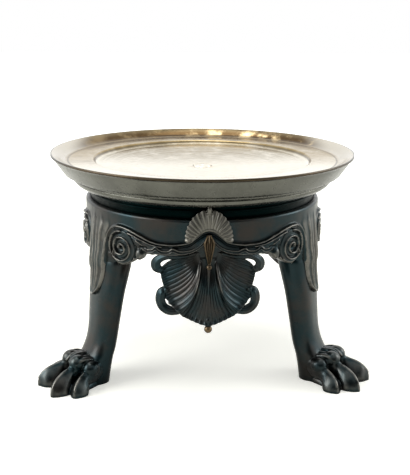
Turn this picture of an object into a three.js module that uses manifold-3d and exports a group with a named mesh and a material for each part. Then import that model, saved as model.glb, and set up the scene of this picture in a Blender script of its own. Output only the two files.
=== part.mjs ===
// Low tripod stand in patinated bronze: a turned dish on a ring collar with
// a scalloped apron, three lion-paw legs, and three fans, shells and drops.
// Millimetres, +Z up. Heights are worked out above the floor, and the whole
// stand is then lowered so that the head of the centre screw is the origin.
import * as THREE from 'three';
import { mergeVertices } from 'three/addons/utils/BufferGeometryUtils.js';
import Module from 'manifold-3d';

const wasm = await Module();
wasm.setup();

// Driving sizes
const shoulderH = 64; // floor to the leg shoulders that carry the collar
const collarH = 29; // shoulder to the flat top of the collar
const dishH = 23; // collar top to the rim
const rimR = 80;
const lipT = 1.0; // height of the rim edge
const lipW = 1.0; // width of the rim edge
const ledgeR = rimR - 8.7;
const ledgeDrop = 3.9;
const sunkR = ledgeR - 13.6;
const sunkDrop = 2.2;
const floorDish = 2.3; // how far the sunken floor falls to its middle
const stepR = rimR - 6.6; // lower edge of the flared wall
const stepDrop = 9.7;
const mouldR = rimR - 13.8; // lower moulding of the dish
const mouldDrop = 16.1;
const underDrop = 11.0; // rim to the flat underside
const bossR = 9;
const bossDrop = 14;

const collarR = 62.2;
const collarWall = 3.2;
const collarEase = 1.5; // rounding of the collar's top edge
const footOutR = collarR - 2.6; // ring of the dish that stands on the collar
const footInR = footOutR - 3.5;
const footRingR = footOutR + 1.0;
const bandProud = 0.9; // apron band in front of the wall
const lineR = 0.9; // raised line along the apron
const voluteA = 17.8; // degrees from the leg to the volute
const voluteDrop = 17.2; // collar top to the volute's middle
const voluteR = 8.9;
const voluteProud = 1.9;
const spiralTurns = 2.25;
const spiralR = 1.0;

const legTop = collarH - 6; // tenon above the shoulder
const ankleH = 22; // floor to the top of the paw
const tenonGap = 0.3;
const leafTopDrop = 8.5;
const leafTipDrop = 46.5;
const leafThick = 1.5;
const leafGap = 0.3;
const soleCut = 0;

const headR = 4.75;
const headT = 2.0;
const shankR = 2.5;
const screwGap = 0.3;
const bridgeT = 3;
const bridgeW = 10;
const bridgeReach = collarR - collarWall - 1.9;
const hubR = 9;
const washerR = 6.5;
const washerT = 1.5;
const nutR = 4.9;
const nutT = 4;
const screwTail = 1.5;
const tieR = 1.4; // screws from the bridge into the legs
const tieHeadR = 2.7;
const tieHeadT = 2;
const tieLen = 12;
const tieAt = collarR - 9.5;

const tabGap = 1.1; // collar wall to the shell's tab
const tabT = 1.6;
const tabW = 8;
const tabTop = 7; // below the collar top
const shellFront = collarR - 1.2; // distance of the shell's face from the axis
const shellBend = 0.9; // how closely the shell follows the collar's curve
const shellLower = 0.27; // how far its bent sides hang lower, per mm of bend
const shellT = 1.8;
const shellTop = 18.4; // below the collar top
const shellTip = 53.6;
const ballR = 2.0;
const pinR = 0.9;
const pinGap = 0.3;
const pinHeadR = 1.8;
const pinHeadT = 1.2;
const pinDrop = 9.8; // shell pin, below the collar top
const fanPinDrop = 3.2;
const fanW = 10.6;
const fanUp = 14.6;
const fanArch = 5.6;
const fanBase = 10.2; // fan's middle, below the collar top
const fanT = 2.2;
const fanGap = 0.3;
const dropGap = 0.3;
const dropTip = 21.5; // below the collar top
const dropBallR = 1.4;

// Heights that follow from them
const collarTop = shoulderH + collarH;
const rimH = collarTop + dishH;
const ledgeH = rimH - ledgeDrop;
const sunkH = ledgeH - sunkDrop;
const floorH = sunkH - floorDish;
const headTop = floorH + 0.2;
const headBottom = headTop - headT;
const legTopH = shoulderH + legTop;
const bridgeTopH = legTopH + bridgeT;
const wallIn = collarR - collarWall;
const bandR = collarR + bandProud;
const legAngles = [90, 210, 330];
const bayAngles = [270, 30, 150];
const rad = THREE.MathUtils.degToRad;

// Solid tools
function toSolid(geometry) {
  const g = geometry.clone();
  for (const name of ['normal', 'uv', 'color']) g.deleteAttribute(name);
  const m = mergeVertices(g, 1e-4);
  const p = m.attributes.position;
  const index = Array.from(m.index.array);
  const tris = [];
  let volume = 0;
  const a = new THREE.Vector3();
  const b = new THREE.Vector3();
  const c = new THREE.Vector3();
  for (let i = 0; i < index.length; i += 3) {
    const [x, y, z] = [index[i], index[i + 1], index[i + 2]];
    if (x === y || y === z || x === z) continue;
    a.fromBufferAttribute(p, x);
    b.fromBufferAttribute(p, y);
    c.fromBufferAttribute(p, z);
    volume += a.dot(b.cross(c));
    tris.push(x, y, z);
  }
  if (volume < 0) {
    for (let i = 0; i < tris.length; i += 3) {
      [tris[i + 1], tris[i + 2]] = [tris[i + 2], tris[i + 1]];
    }
  }
  return new wasm.Manifold(new wasm.Mesh({
    numProp: 3,
    vertProperties: new Float32Array(p.array),
    triVerts: new Uint32Array(tris),
  }));
}

function toGeometry(solid) {
  const m = solid.getMesh();
  const g = new THREE.BufferGeometry();
  const points = new Float32Array(m.numVert * 3);
  for (let i = 0; i < m.numVert; i += 1) {
    for (let k = 0; k < 3; k += 1) {
      points[i * 3 + k] = m.vertProperties[i * m.numProp + k];
    }
  }
  g.setAttribute('position', new THREE.BufferAttribute(points, 3));
  g.setIndex(Array.from(m.triVerts));
  g.computeVertexNormals();
  return g;
}

// A closed skin over rings of points that all have the same count
function skin(rings, closedLoop = false) {
  const n = rings[0].length;
  const pos = [];
  for (const ring of rings) for (const p of ring) pos.push(p.x, p.y, p.z);
  const idx = [];
  const last = closedLoop ? rings.length : rings.length - 1;
  for (let i = 0; i < last; i += 1) {
    const j = (i + 1) % rings.length;
    for (let k = 0; k < n; k += 1) {
      const k2 = (k + 1) % n;
      const [a, b, c, d] = [i * n + k, i * n + k2, j * n + k2, j * n + k];
      idx.push(a, b, c, a, c, d);
    }
  }
  if (!closedLoop) {
    for (const [i, flip] of [[0, true], [rings.length - 1, false]]) {
      const mid = new THREE.Vector3();
      rings[i].forEach((p) => mid.add(p));
      mid.divideScalar(n);
      const m = pos.length / 3;
      pos.push(mid.x, mid.y, mid.z);
      for (let k = 0; k < n; k += 1) {
        const [a, b] = [i * n + k, i * n + ((k + 1) % n)];
        if (flip) idx.push(b, a, m);
        else idx.push(a, b, m);
      }
    }
  }
  const g = new THREE.BufferGeometry();
  g.setAttribute('position', new THREE.BufferAttribute(new Float32Array(pos), 3));
  g.setIndex(idx);
  return g;
}

// A closed plate with a front and a back surface over a grid
function slab(nu, nv, front, back) {
  const rings = [];
  for (let i = 0; i <= nu; i += 1) {
    const ring = [];
    for (let j = 0; j <= nv; j += 1) ring.push(front(i / nu, j / nv));
    for (let j = nv; j >= 0; j -= 1) ring.push(back(i / nu, j / nv));
    rings.push(ring);
  }
  const g = skin(rings, true);
  const n = rings[0].length;
  const idx = Array.from(g.index.array).slice(0, nu * n * 6);
  for (const [i, flip] of [[0, true], [nu, false]]) {
    for (let j = 0; j < nv; j += 1) {
      const [a, b] = [i * n + j, i * n + j + 1];
      const [c, d] = [i * n + (n - 2 - j), i * n + (n - 1 - j)];
      if (flip) idx.push(b, a, d, b, d, c);
      else idx.push(a, b, c, a, c, d);
    }
  }
  g.setIndex(idx);
  return g;
}

// A round bar of changing radius along points
function bar(points, radii, sides) {
  const rings = [];
  const side = new THREE.Vector3();
  points.forEach((p, i) => {
    const a = points[Math.max(i - 1, 0)];
    const b = points[Math.min(i + 1, points.length - 1)];
    const dir = b.clone().sub(a).normalize();
    if (i === 0) {
      side.set(0, 0, 1);
      if (Math.abs(dir.z) > 0.9) side.set(1, 0, 0);
    }
    side.addScaledVector(dir, -side.dot(dir)).normalize();
    const other = dir.clone().cross(side);
    const ring = [];
    for (let k = 0; k < sides; k += 1) {
      const w = ((k + 0.5) / sides) * Math.PI * 2;
      ring.push(p.clone()
        .addScaledVector(side, Math.cos(w) * radii[i])
        .addScaledVector(other, Math.sin(w) * radii[i]));
    }
    rings.push(ring);
  });
  return skin(rings);
}

function turned(profile, segments) {
  const pts = profile.map(([r, h]) => new THREE.Vector2(r, h));
  pts.push(pts[0].clone());
  return new THREE.LatheGeometry(pts, segments).rotateX(Math.PI / 2);
}

function rod(r, h0, h1, segments = 16) {
  return new THREE.CylinderGeometry(r, r, h1 - h0, segments)
    .rotateX(Math.PI / 2).translate(0, 0, (h0 + h1) / 2);
}

// A rod that lies along +X between two distances from the axis
function spoke(r, x0, x1, h, segments = 8) {
  return new THREE.CylinderGeometry(r, r, x1 - x0, segments)
    .rotateZ(Math.PI / 2).translate((x0 + x1) / 2, 0, h);
}

function along(table, x) {
  if (x <= table[0][0]) return table[0][1];
  for (let i = 1; i < table.length; i += 1) {
    if (x <= table[i][0]) {
      const [x0, y0] = table[i - 1];
      const [x1, y1] = table[i];
      return y0 + ((y1 - y0) * (x - x0)) / (x1 - x0);
    }
  }
  return table[table.length - 1][1];
}

function smooth(x) {
  const k = THREE.MathUtils.clamp(x, 0, 1);
  return k * k * (3 - 2 * k);
}

// Point at an angle from a bay's middle, on a radius, at a height
const polar = (deg, r, h) => new THREE.Vector3(
  r * Math.cos(rad(deg)), r * Math.sin(rad(deg)), h);

// A solid without the closed hollows that a join can leave
const sound = (solid) => wasm.Manifold.union(
  solid.decompose().filter((part) => part.volume() > 0));

const turnedCopies = (solid, angles) => wasm.Manifold.union(
  angles.map((a) => solid.rotate([0, 0, a])));

// Dish
const dishProfile = [
  [screwHoleR(), headBottom],
  [screwHoleR(), rimH - bossDrop],
  [bossR, rimH - bossDrop],
  [bossR, rimH - underDrop],
  [footInR - 1.5, rimH - underDrop],
  [footInR, rimH - underDrop - 1.5],
  [footInR, collarTop],
  [footOutR, collarTop],
  [footOutR, rimH - mouldDrop - 3.9],
  [footRingR, rimH - mouldDrop - 3.3],
  [footOutR, rimH - mouldDrop - 2.6],
  [footOutR, rimH - mouldDrop - 0.6],
  [mouldR - 0.9, rimH - mouldDrop],
  [mouldR, rimH - mouldDrop + 0.5],
  [mouldR + 1.5, rimH - mouldDrop + 1.7],
  [mouldR + 2.4, rimH - mouldDrop + 3.2],
  [mouldR + 2.3, rimH - mouldDrop + 4.0],
  [stepR - 3.3, rimH - stepDrop - 1.6],
  [stepR - 2.2, rimH - stepDrop - 0.5],
  [stepR, rimH - stepDrop],
  [stepR + 3.3, rimH - stepDrop + 4.0],
  [stepR + 5.0, rimH - stepDrop + 6.8],
  [rimR - 0.7, rimH - lipT - 0.5],
  [rimR, rimH - lipT],
  [rimR, rimH],
  [rimR - lipW, rimH],
  [rimR - lipW - 3.6, rimH - 2.3],
  [ledgeR + 1.9, ledgeH + 0.7],
  [ledgeR, ledgeH],
  [sunkR, ledgeH],
  [sunkR - 1.2, sunkH + 0.4],
  [sunkR - 2.6, sunkH],
  [sunkR * 0.78, sunkH - floorDish * 0.4],
  [sunkR * 0.25, sunkH - floorDish * 0.94],
  [headR + screwGap, floorH],
  [headR + screwGap, headBottom],
];
function screwHoleR() { return shankR + screwGap; }
const dish = toGeometry(toSolid(turned(dishProfile, 44)));

// Centre screw, bridge, washer and nut
const nutBottom = legTopH - washerT - nutT;
const centreScrew = toGeometry(toSolid(turned([
  [0, nutBottom - screwTail], [shankR, nutBottom - screwTail],
  [shankR, headBottom], [headR, headBottom],
  [headR, headTop - 0.3], [headR - 0.3, headTop], [0, headTop],
], 24)));

const armBox = new THREE.BoxGeometry(bridgeReach, bridgeW, bridgeT)
  .translate(bridgeReach / 2, 0, legTopH + bridgeT / 2);
let bridgeSolid = toSolid(rod(hubR, legTopH, bridgeTopH, 24))
  .add(turnedCopies(toSolid(armBox), legAngles));
bridgeSolid = bridgeSolid.subtract(toSolid(
  rod(screwHoleR(), legTopH - 1, bridgeTopH + 1)));
const tieHole = rod(tieR + screwGap, legTopH - 1, bridgeTopH + 1, 12)
  .translate(tieAt, 0, 0);
bridgeSolid = bridgeSolid.subtract(turnedCopies(toSolid(tieHole), legAngles));
const bridge = toGeometry(bridgeSolid);

const washer = toGeometry(toSolid(turned([
  [screwHoleR(), legTopH - washerT], [washerR, legTopH - washerT],
  [washerR, legTopH], [screwHoleR(), legTopH],
], 24)));
const nutBody = new THREE.CylinderGeometry(nutR, nutR, nutT, 6)
  .rotateX(Math.PI / 2).translate(0, 0, nutBottom + nutT / 2);
const nut = toGeometry(toSolid(nutBody).subtract(toSolid(
  rod(screwHoleR(), nutBottom - 1, nutBottom + nutT + 1))));

const tieScrew = toGeometry(toSolid(turned([
  [0, bridgeTopH - tieLen], [tieR, bridgeTopH - tieLen], [tieR, bridgeTopH],
  [tieHeadR, bridgeTopH], [tieHeadR, bridgeTopH + tieHeadT - 0.4],
  [tieHeadR - 0.5, bridgeTopH + tieHeadT], [0, bridgeTopH + tieHeadT],
], 12)).translate([tieAt, 0, 0]));

// Leg: a half-round shaft with a lion's paw of four toes, lying along +X.
// Each row is height, inner and outer face from the collar's face, half width.
// Below the ankle the shaft narrows to the heel.
const shaftRows = [
  [legTopH, -14.0, -3.1, 9.5],
  [shoulderH + 6, -14.8, -0.6, 11.6],
  [shoulderH, -14.9, 1.0, 13.1],
  [legPart(0.857), -13.4, 1.6, 12.9],
  [legPart(0.62), -10.8, 3.2, 12.2],
  [legPart(0.38), -9.0, 4.1, 11.2],
  [legPart(0.143), -7.4, 5.2, 10.2],
  [ankleH, -6.4, 6.6, 9.9],
  [ankleH - 4, -5.4, 8.2, 9.5],
  [ankleH - 7.5, -3.6, 10.0, 8.4],
  [ankleH - 11, -2.4, 11.5, 7.6],
  [ankleH - 16, -1.8, 12.0, 7.2],
  [-1, -1.6, 12.0, 7.0],
];
const shaft = shaftRows.map(([h, a, b, w]) => [h, collarR + a, collarR + b, w]);
function legPart(k) { return ankleH + (shoulderH - ankleH) * k; }
const bow = 2 / 2.6;
function shaftRing([h, r0, r1, half], n = 18) {
  const ring = [];
  for (let k = 0; k < n; k += 1) {
    const w = (k / n) * Math.PI * 2;
    const c = Math.sign(Math.cos(w)) * Math.abs(Math.cos(w)) ** bow;
    const s = Math.sign(Math.sin(w)) * Math.abs(Math.sin(w)) ** bow;
    ring.push(new THREE.Vector3((r0 + r1) / 2 + ((r1 - r0) / 2) * c, half * s, h));
  }
  return ring;
}
// Distance of the shaft's outer face at a height and a sideways place
function shaftFace(h, t) {
  const up = [...shaft].reverse();
  const r0 = along(up.map((q) => [q[0], q[1]]), h);
  const r1 = along(up.map((q) => [q[0], q[2]]), h);
  const half = along(up.map((q) => [q[0], q[3]]), h);
  const s = Math.min(Math.abs(t) / half, 0.98);
  return (r0 + r1) / 2 + ((r1 - r0) / 2) * (1 - s ** 2.6) ** (1 / 2.6);
}
// Each row is distance from the collar's face, sideways place, height of the
// top, half width, and how far the section is a claw's: a knuckle, a neck,
// then a claw with a sharp top that flares to the floor and ends in a point
const midToe = [
  [-0.2, 2.6, 16.4, 3.5, 0],
  [13.3, 3.9, 17.1, 3.8, 0],
  [17.1, 4.3, 17.1, 3.7, 0],
  [19.6, 4.7, 15.7, 3.4, 0.1],
  [21.6, 5.1, 13.0, 3.4, 0.4],
  [24.0, 5.7, 11.0, 4.9, 0.9],
  [26.6, 6.5, 9.7, 5.2, 1],
  [29.2, 7.3, 8.2, 4.2, 1],
  [31.6, 8.2, 6.0, 2.7, 1],
  [33.4, 9.0, 2.0, 0.8, 1],
];
const sideToe = [
  [-3.2, 4.0, 14.8, 3.5, 0],
  [9.4, 8.0, 15.4, 3.8, 0],
  [12.4, 9.0, 14.9, 3.6, 0],
  [14.4, 10.0, 13.2, 3.3, 0.1],
  [15.9, 11.0, 11.0, 3.5, 0.5],
  [17.8, 12.2, 9.2, 4.9, 0.95],
  [19.8, 13.4, 8.0, 5.0, 1],
  [21.6, 14.6, 6.6, 4.0, 1],
  [23.2, 15.6, 4.8, 2.5, 1],
  [24.6, 16.6, 1.4, 0.6, 1],
];
// Height share, half width of a knuckle and half width of a claw
const toeSection = [
  [1, 0.25, 0.14], [0.6, 0.98, 0.46], [0.3, 0.92, 0.74], [0.1, 0.6, 1], [0, 0.2, 0.9],
];
const knuckleBase = 3; // underside of a knuckle above the floor
function toe(rows, side) {
  return skin(rows.map(([r, t, high, wide, claw], i) => {
    const a = rows[Math.max(i - 1, 0)];
    const b = rows[Math.min(i + 1, rows.length - 1)];
    const run = Math.hypot(b[0] - a[0], b[1] - a[1]);
    const [ax, ay] = [-(b[1] - a[1]) / run, (b[0] - a[0]) / run];
    const base = knuckleBase * (1 - claw) - claw;
    const at = ([share, round, sharp], s) => {
      const x = s * wide * (round * (1 - claw) + sharp * claw);
      return new THREE.Vector3(
        collarR + r + ax * x, (t + ay * x) * side, base + (high - base) * share);
    };
    return [...toeSection.map((q) => at(q, 1)),
      ...[...toeSection].reverse().map((q) => at(q, -1))];
  }));
}
// Pad under the toes: distance from the collar's face, half width and height
const padRows = [[4, 6.5, 8], [9.8, 9.5, 7], [15, 11.8, 5.5], [20, 10.5, 4.2], [25, 7.5, 2.6]];
let legSolid = toSolid(skin(shaft.map((row) => shaftRing(row))));
legSolid = legSolid.add(toSolid(skin(padRows.map(([r, wide, high]) => {
  const ring = [];
  for (let k = 0; k < 10; k += 1) {
    const w = (k / 10) * Math.PI * 2;
    ring.push(new THREE.Vector3(collarR + r, Math.cos(w) * wide, Math.sin(w) * high));
  }
  return ring;
}))));
for (const side of [1, -1]) {
  legSolid = legSolid.add(toSolid(toe(midToe, side))).add(toSolid(toe(sideToe, side)));
}
legSolid = legSolid.subtract(toSolid(new THREE.BoxGeometry(80, 80, 20)
  .translate(75, 0, soleCut - 10)));
legSolid = legSolid.subtract(toSolid(turned([
  [wallIn - tenonGap, shoulderH], [wallIn + 30, shoulderH],
  [wallIn + 30, legTopH + 5], [wallIn - tenonGap, legTopH + 5],
], 72)));
legSolid = legSolid.subtract(toSolid(rod(
  tieR + screwGap, bridgeTopH - tieLen - 0.6, legTopH + 1, 12)
  .translate(tieAt, 0, 0)));
const leg = toGeometry(sound(legSolid));

// Collar: the wall's lower edge and the raised line, as degrees from the
// middle of a bay against the drop below the collar's top
const edgeTable = [
  [0, 11.2], [2.4, 12.6], [4.9, 14.6], [8, 16.4], [11.9, 17.3], [18.8, 18.3],
  [23.7, 18.0], [27.2, 18.2], [29.6, 19.2], [31.2, 21.6], [33.4, 22.4],
  [35.2, 23.0], [36.6, 24.1],
];
const lineTable = [
  [0, 5.5], [1.8, 5.9], [3.5, 6.9], [5.4, 8.3], [8.2, 10.8], [12.7, 12.1],
  [16.4, 12.6], [21, 12.7], [25.1, 12.3], [28.7, 11.0], [34.2, 8.6], [38, 7.4],
  [41.8, 6.8], [44.6, 6.9],
];
const voluteAt = 60 - voluteA;
const shoulderFrom = 47.6;
function edgeDrop(deg) {
  const d = Math.abs(deg);
  if (d <= 36.6) return along(edgeTable, d);
  // From here on the wall stands on the leg's shoulder
  if (d >= shoulderFrom) return collarTop - shoulderH;
  const across = collarR * rad(d - voluteAt);
  return voluteDrop + Math.sqrt(Math.max(voluteR ** 2 - across ** 2, 0));
}
const wallRings = [];
const halfBay = [0, 3, 6, 10, 15, 20, 25, 29, 31.2, 34.5, 36.6, 40, 43.6, 46.4, 47.6, 54.5];
const baySteps = [-60, ...halfBay.slice(1).reverse().map((d) => -d), ...halfBay];
for (const middle of [30, 150, 270]) {
  for (const bay of baySteps) {
    const low = collarTop - edgeDrop(bay);
    wallRings.push([
      [wallIn, collarTop], [collarR - collarEase, collarTop],
      [collarR, collarTop - collarEase], [collarR, low], [wallIn, low],
    ].map(([r, h]) => polar(middle + bay, r, h)));
  }
}
let bayPart = null;
const bandSpan = 36;
const band = slab(
  28, 1,
  (u, v) => {
    const d = (u * 2 - 1) * bandSpan;
    const top = along(lineTable, Math.abs(d));
    return polar(d, bandR, collarTop - top - v * (edgeDrop(d) - top));
  },
  (u, v) => {
    const d = (u * 2 - 1) * bandSpan;
    const top = along(lineTable, Math.abs(d));
    return polar(d, collarR - 0.8, collarTop - top - v * (edgeDrop(d) - top));
  },
);
function apronLine(extra, low = 0) {
  const pts = [];
  const radii = [];
  for (let i = 0; i <= 32; i += 1) {
    const d = -44.6 + (89.2 * i) / 32;
    pts.push(polar(d, collarR + 0.9, collarTop - along(lineTable, Math.abs(d)) - low));
    radii.push(lineR + extra);
  }
  return bar(pts, radii, 4);
}
bayPart = toSolid(band).add(toSolid(apronLine(0)));

// Volutes either side of a leg that lies along +X
function volute(side) {
  const rim = [];
  for (let k = 0; k < 20; k += 1) {
    const w = (k / 20) * Math.PI * 2;
    rim.push([Math.cos(w) * voluteR, Math.sin(w) * voluteR]);
  }
  const h = collarTop - voluteDrop;
  const disc = skin([collarR - 2, collarR + voluteProud - 0.5, collarR + voluteProud]
    .map((x, i) => rim.map(([t, z]) => new THREE.Vector3(
      x, t * (i === 2 ? 0.94 : 1), h + z * (i === 2 ? 0.94 : 1)))));
  const pts = [];
  const radii = [];
  const steps = 24;
  for (let i = 0; i <= steps; i += 1) {
    const k = i / steps;
    const w = Math.PI / 2 + side * k * spiralTurns * Math.PI * 2;
    const r = (voluteR - 1.1) * (1 - k) + 0.8 * k;
    pts.push(new THREE.Vector3(
      collarR + voluteProud + 0.1, r * Math.cos(w), h + r * Math.sin(w)));
    radii.push(spiralR * (1 - 0.35 * k));
  }
  return toSolid(disc).add(toSolid(bar(pts, radii, 4)))
    .rotate([0, 0, side * voluteA]);
}

// Leaf down the front of a leg that lies along +X
const leafWide = [
  [leafTopDrop, 10.4], [11.5, 9.4], [15, 8.3], [21, 8.3], [28, 7.4], [38, 4.8],
  [44, 2.3], [leafTipDrop, 0.7],
];
const leafFace = [
  [leafTopDrop, collarR + 0.9], [13, collarR + 1.4], [22, collarR + 2.2],
  [29, shaft[2][2] + leafGap + leafThick],
];
function leafOut(drop, t) {
  const h = collarTop - drop;
  if (h > shoulderH) {
    const face = along(leafFace, drop);
    return face - (collarR - Math.sqrt(collarR ** 2 - t ** 2)) * 0.9;
  }
  const tip = 0.9 * smooth((drop - 41) / (leafTipDrop - 41));
  return shaftFace(h, t) + leafGap + leafThick + tip;
}
function leafRidge(u, drop) {
  const half = along(leafWide, drop);
  return 0.35 * Math.cos(u * Math.PI * 4) * Math.min(half / 5, 1);
}
function leafSlab(d0, d1, steps, backOf, lift) {
  const at = (u, v) => {
    const drop = d0 + (d1 - d0) * v;
    const t = (u * 2 - 1) * along(leafWide, drop);
    return [drop, t];
  };
  return slab(
    4, steps,
    (u, v) => {
      const [drop, t] = at(u, v);
      return new THREE.Vector3(
        leafOut(drop, t) + leafRidge(u, drop) + lift, t, collarTop - drop);
    },
    (u, v) => {
      const [drop, t] = at(u, v);
      return new THREE.Vector3(backOf(drop, t), t, collarTop - drop);
    },
  );
}
const overWall = collarTop - shoulderH;
const leafUpper = leafSlab(leafTopDrop, overWall - 0.3, 5, () => collarR - 1.4, 0);
const leafLower = leafSlab(overWall - 2, leafTipDrop, 6,
  (drop, t) => shaftFace(Math.min(collarTop - drop, shoulderH), t) + leafGap, 0.03);
let collarSolid = toSolid(skin(wallRings, true))
  .add(turnedCopies(bayPart, [30, 150, 270]))
  .add(turnedCopies(volute(1).add(volute(-1))
    .add(toSolid(leafUpper)).add(toSolid(leafLower)), legAngles));
const pinH = collarTop - pinDrop;
const fanPinH = collarTop - fanPinDrop;
for (const h of [pinH, fanPinH]) {
  collarSolid = collarSolid.subtract(turnedCopies(
    toSolid(spoke(pinR + pinGap, wallIn - 3, bandR + 3, h)), bayAngles));
}
const collar = toGeometry(sound(collarSolid));

// Fan: a ribbed half disc that hugs the collar's wall, along +X
const fanH = collarTop - fanBase;
const fanRibs = 15;
const fanSteps = 20;
function fanPoint(u, v, out) {
  const w = rad(-4 + 188 * u);
  const scallop = 0.35 * Math.abs(Math.sin(u * fanRibs * Math.PI)) * v;
  const rx = fanArch + (fanW - fanArch + scallop) * v;
  const rz = fanArch + (fanUp - fanArch + scallop) * v;
  const t = rx * Math.cos(w);
  const h = fanH + rz * Math.sin(w);
  const reach = collarR + fanGap + out;
  return new THREE.Vector3(Math.sqrt(reach ** 2 - t ** 2), t, h);
}
const fanPlate = slab(
  fanSteps, 2,
  (u, v) => fanPoint(u, v, fanT * (0.72 + 0.28 * Math.sin(v * Math.PI))
    + 0.5 * Math.abs(Math.sin(u * fanRibs * Math.PI)) * Math.sin(0.3 + v * 2.4)),
  (u, v) => fanPoint(u, v, 0),
);
const knob = new THREE.SphereGeometry(1.0, 8, 6)
  .translate(collarR + fanGap + 1.3, 0, fanH + fanUp + 0.2);
let fanSolid = toSolid(fanPlate).add(toSolid(knob));
const underLine = slab(
  16, 1,
  (u, v) => polar((u * 2 - 1) * 20, collarR + 9,
    collarTop - along(lineTable, Math.abs(u * 2 - 1) * 20) - v * 12),
  (u, v) => polar((u * 2 - 1) * 20, collarR - 3,
    collarTop - along(lineTable, Math.abs(u * 2 - 1) * 20) - v * 12),
);
fanSolid = fanSolid.subtract(toSolid(apronLine(fanGap))).subtract(toSolid(underLine));
fanSolid = fanSolid.subtract(toSolid(
  spoke(pinR + pinGap, collarR - 1, collarR + fanGap + 1.3, fanPinH)));
const fan = toGeometry(fanSolid.decompose().sort((a, b) => b.volume() - a.volume())[0]);
const fanPinSolid = toSolid(spoke(
  pinR, wallIn - 0.5 - pinHeadT / 2, collarR + fanGap + 1.0, fanPinH))
  .add(toSolid(spoke(pinHeadR, wallIn - 0.5 - pinHeadT, wallIn - 0.5, fanPinH)));
const fanPin = toGeometry(fanPinSolid);

// Shell pendant along +X: three lobes that fan out from behind the apron,
// two ridges, and curled straps at its corners
const tabFront = wallIn - tabGap;
const lobeRows = [
  // outer end, bend, start
  [[21.5, 22.3], [13.5, 18.9], [6.2, 18.4]],
  [[22.6, 26.6], [12.0, 23.0], [6.0, 18.7]],
  [[21.9, 30.8], [10.4, 27.0], [5.9, 19.0]],
  [[20.4, 35.2], [8.6, 31.0], [5.7, 19.2]],
  [[18.8, 39.4], [6.7, 34.4], [5.5, 19.3]],
  [[17.0, 42.8], [5.2, 36.8], [5.4, 19.4]],
  [[15.4, 45.3], [4.2, 38.0], [5.3, 19.4]],
];
const middleRows = [
  [[15.4, 45.3], [4.2, 38.0], [5.3, 19.4]],
  [[13.6, 47.0], [3.8, 38.4], [4.4, 19.4]],
  [[10.4, 48.8], [3.0, 39.0], [3.3, 19.4]],
  [[7.0, 51.3], [2.0, 39.6], [2.2, 19.4]],
  [[3.2, 53.1], [1.0, 40.0], [1.1, 19.4]],
  [[0.0, shellTip], [0.0, 40.0], [0.0, 19.4]],
];
function rowAt(rows, x) {
  const i = Math.min(Math.floor(x), rows.length - 2);
  const k = x - i;
  return rows[i].map((p, n) => p.map((q, m) => q + (rows[i + 1][n][m] - q) * k));
}
function shellPoint(rows, x, v, side) {
  const [end, bend, start] = rowAt(rows, x);
  const [a, b, c] = [(1 - v) ** 2, 2 * v * (1 - v), v ** 2];
  return [
    side * (start[0] * a + bend[0] * b + end[0] * c),
    start[1] * a + bend[1] * b + end[1] * c,
  ];
}
const shellIn = shellFront - tabFront;
function bendBack(t) {
  return shellBend * (collarR - Math.sqrt(collarR ** 2 - t ** 2));
}
function shellSlab(rows, side, ridgeAt) {
  const steps = rows.length - 1;
  const place = (u, v, back) => {
    const x = u * (rows.length - 1);
    const [t, drop] = shellPoint(rows, x, v, side);
    const forward = tabFront + shellIn * smooth((v - 0.05) / 0.5);
    const ridge = 1.5 * Math.exp(-(((u - ridgeAt) * 5) ** 2)) * smooth(v / 0.25) * (1 - 0.5 * v);
    const hollow = 1.1 * Math.sin(Math.PI * Math.abs(u - ridgeAt)) * smooth(v / 0.4);
    const face = forward + (back ? 0 : ridge) - hollow;
    const bent = bendBack(t);
    return new THREE.Vector3(
      face - bent - (back ? shellT : 0), t, collarTop - drop - bent * shellLower);
  };
  return slab(steps, 6, (u, v) => place(u, v, false), (u, v) => place(u, v, true));
}
const strapTop = [
  [8.5, 20.3, -2.4, 0.8], [12, 19.5, -0.6, 0.8], [15.6, 18.8, 0.6, 0.85],
  [19, 18.9, 0.9, 0.95], [22.6, 19.2, 0.7, 1.4], [25.0, 21.2, 0.2, 2.0],
  [24.4, 24.0, -0.2, 2.1], [21.8, 25.0, -0.8, 1.7],
];
const strapLow = [
  [19.2, 33.6, -0.9, 1.3], [21.8, 35.6, -0.3, 1.6], [22.5, 38.4, 0, 1.8],
  [22.0, 41.6, 0.2, 1.85], [20.2, 44.2, 0.1, 1.85], [17.4, 45.4, -0.1, 1.8],
  [14.4, 45.6, -0.5, 1.5],
];
function strap(rows, side) {
  return bar(
    rows.map(([t, drop, out]) => new THREE.Vector3(
      shellFront + out - bendBack(t), t * side, collarTop - drop - bendBack(t) * shellLower)),
    rows.map((q) => q[3]), 5);
}
const tab = new THREE.BoxGeometry(tabT, tabW * 2, shellTop + 2.4 - tabTop)
  .translate(tabFront - tabT / 2, 0, collarTop - (tabTop + shellTop + 2.4) / 2);
let shellSolid = toSolid(tab);
for (const side of [1, -1]) {
  shellSolid = shellSolid.add(toSolid(shellSlab(lobeRows, side, 1)))
    .add(toSolid(shellSlab(middleRows, side, 0)))
    .add(toSolid(strap(strapTop, side))).add(toSolid(strap(strapLow, side)));
}
const tipH = collarTop - shellTip;
const ballX = shellFront - shellT / 2;
shellSolid = shellSolid.add(toSolid(rod(1.0, tipH, tipH + 2.5, 12).translate(ballX, 0, 0)));
shellSolid = shellSolid.subtract(toSolid(spoke(pinR + pinGap, tabFront - 4, tabFront + 3, pinH)));
shellSolid = shellSolid.subtract(toSolid(new THREE.BoxGeometry(20, 20, 10)
  .translate(shellFront, 0, tipH - 5)));
const shell = toGeometry(sound(shellSolid));

const endBall = toGeometry(toSolid(new THREE.SphereGeometry(ballR, 12, 8)
  .rotateX(Math.PI / 2).translate(ballX, 0, tipH - ballR + 0.25))
  .subtract(toSolid(new THREE.BoxGeometry(10, 10, 4).translate(ballX, 0, tipH + 2))));

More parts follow.
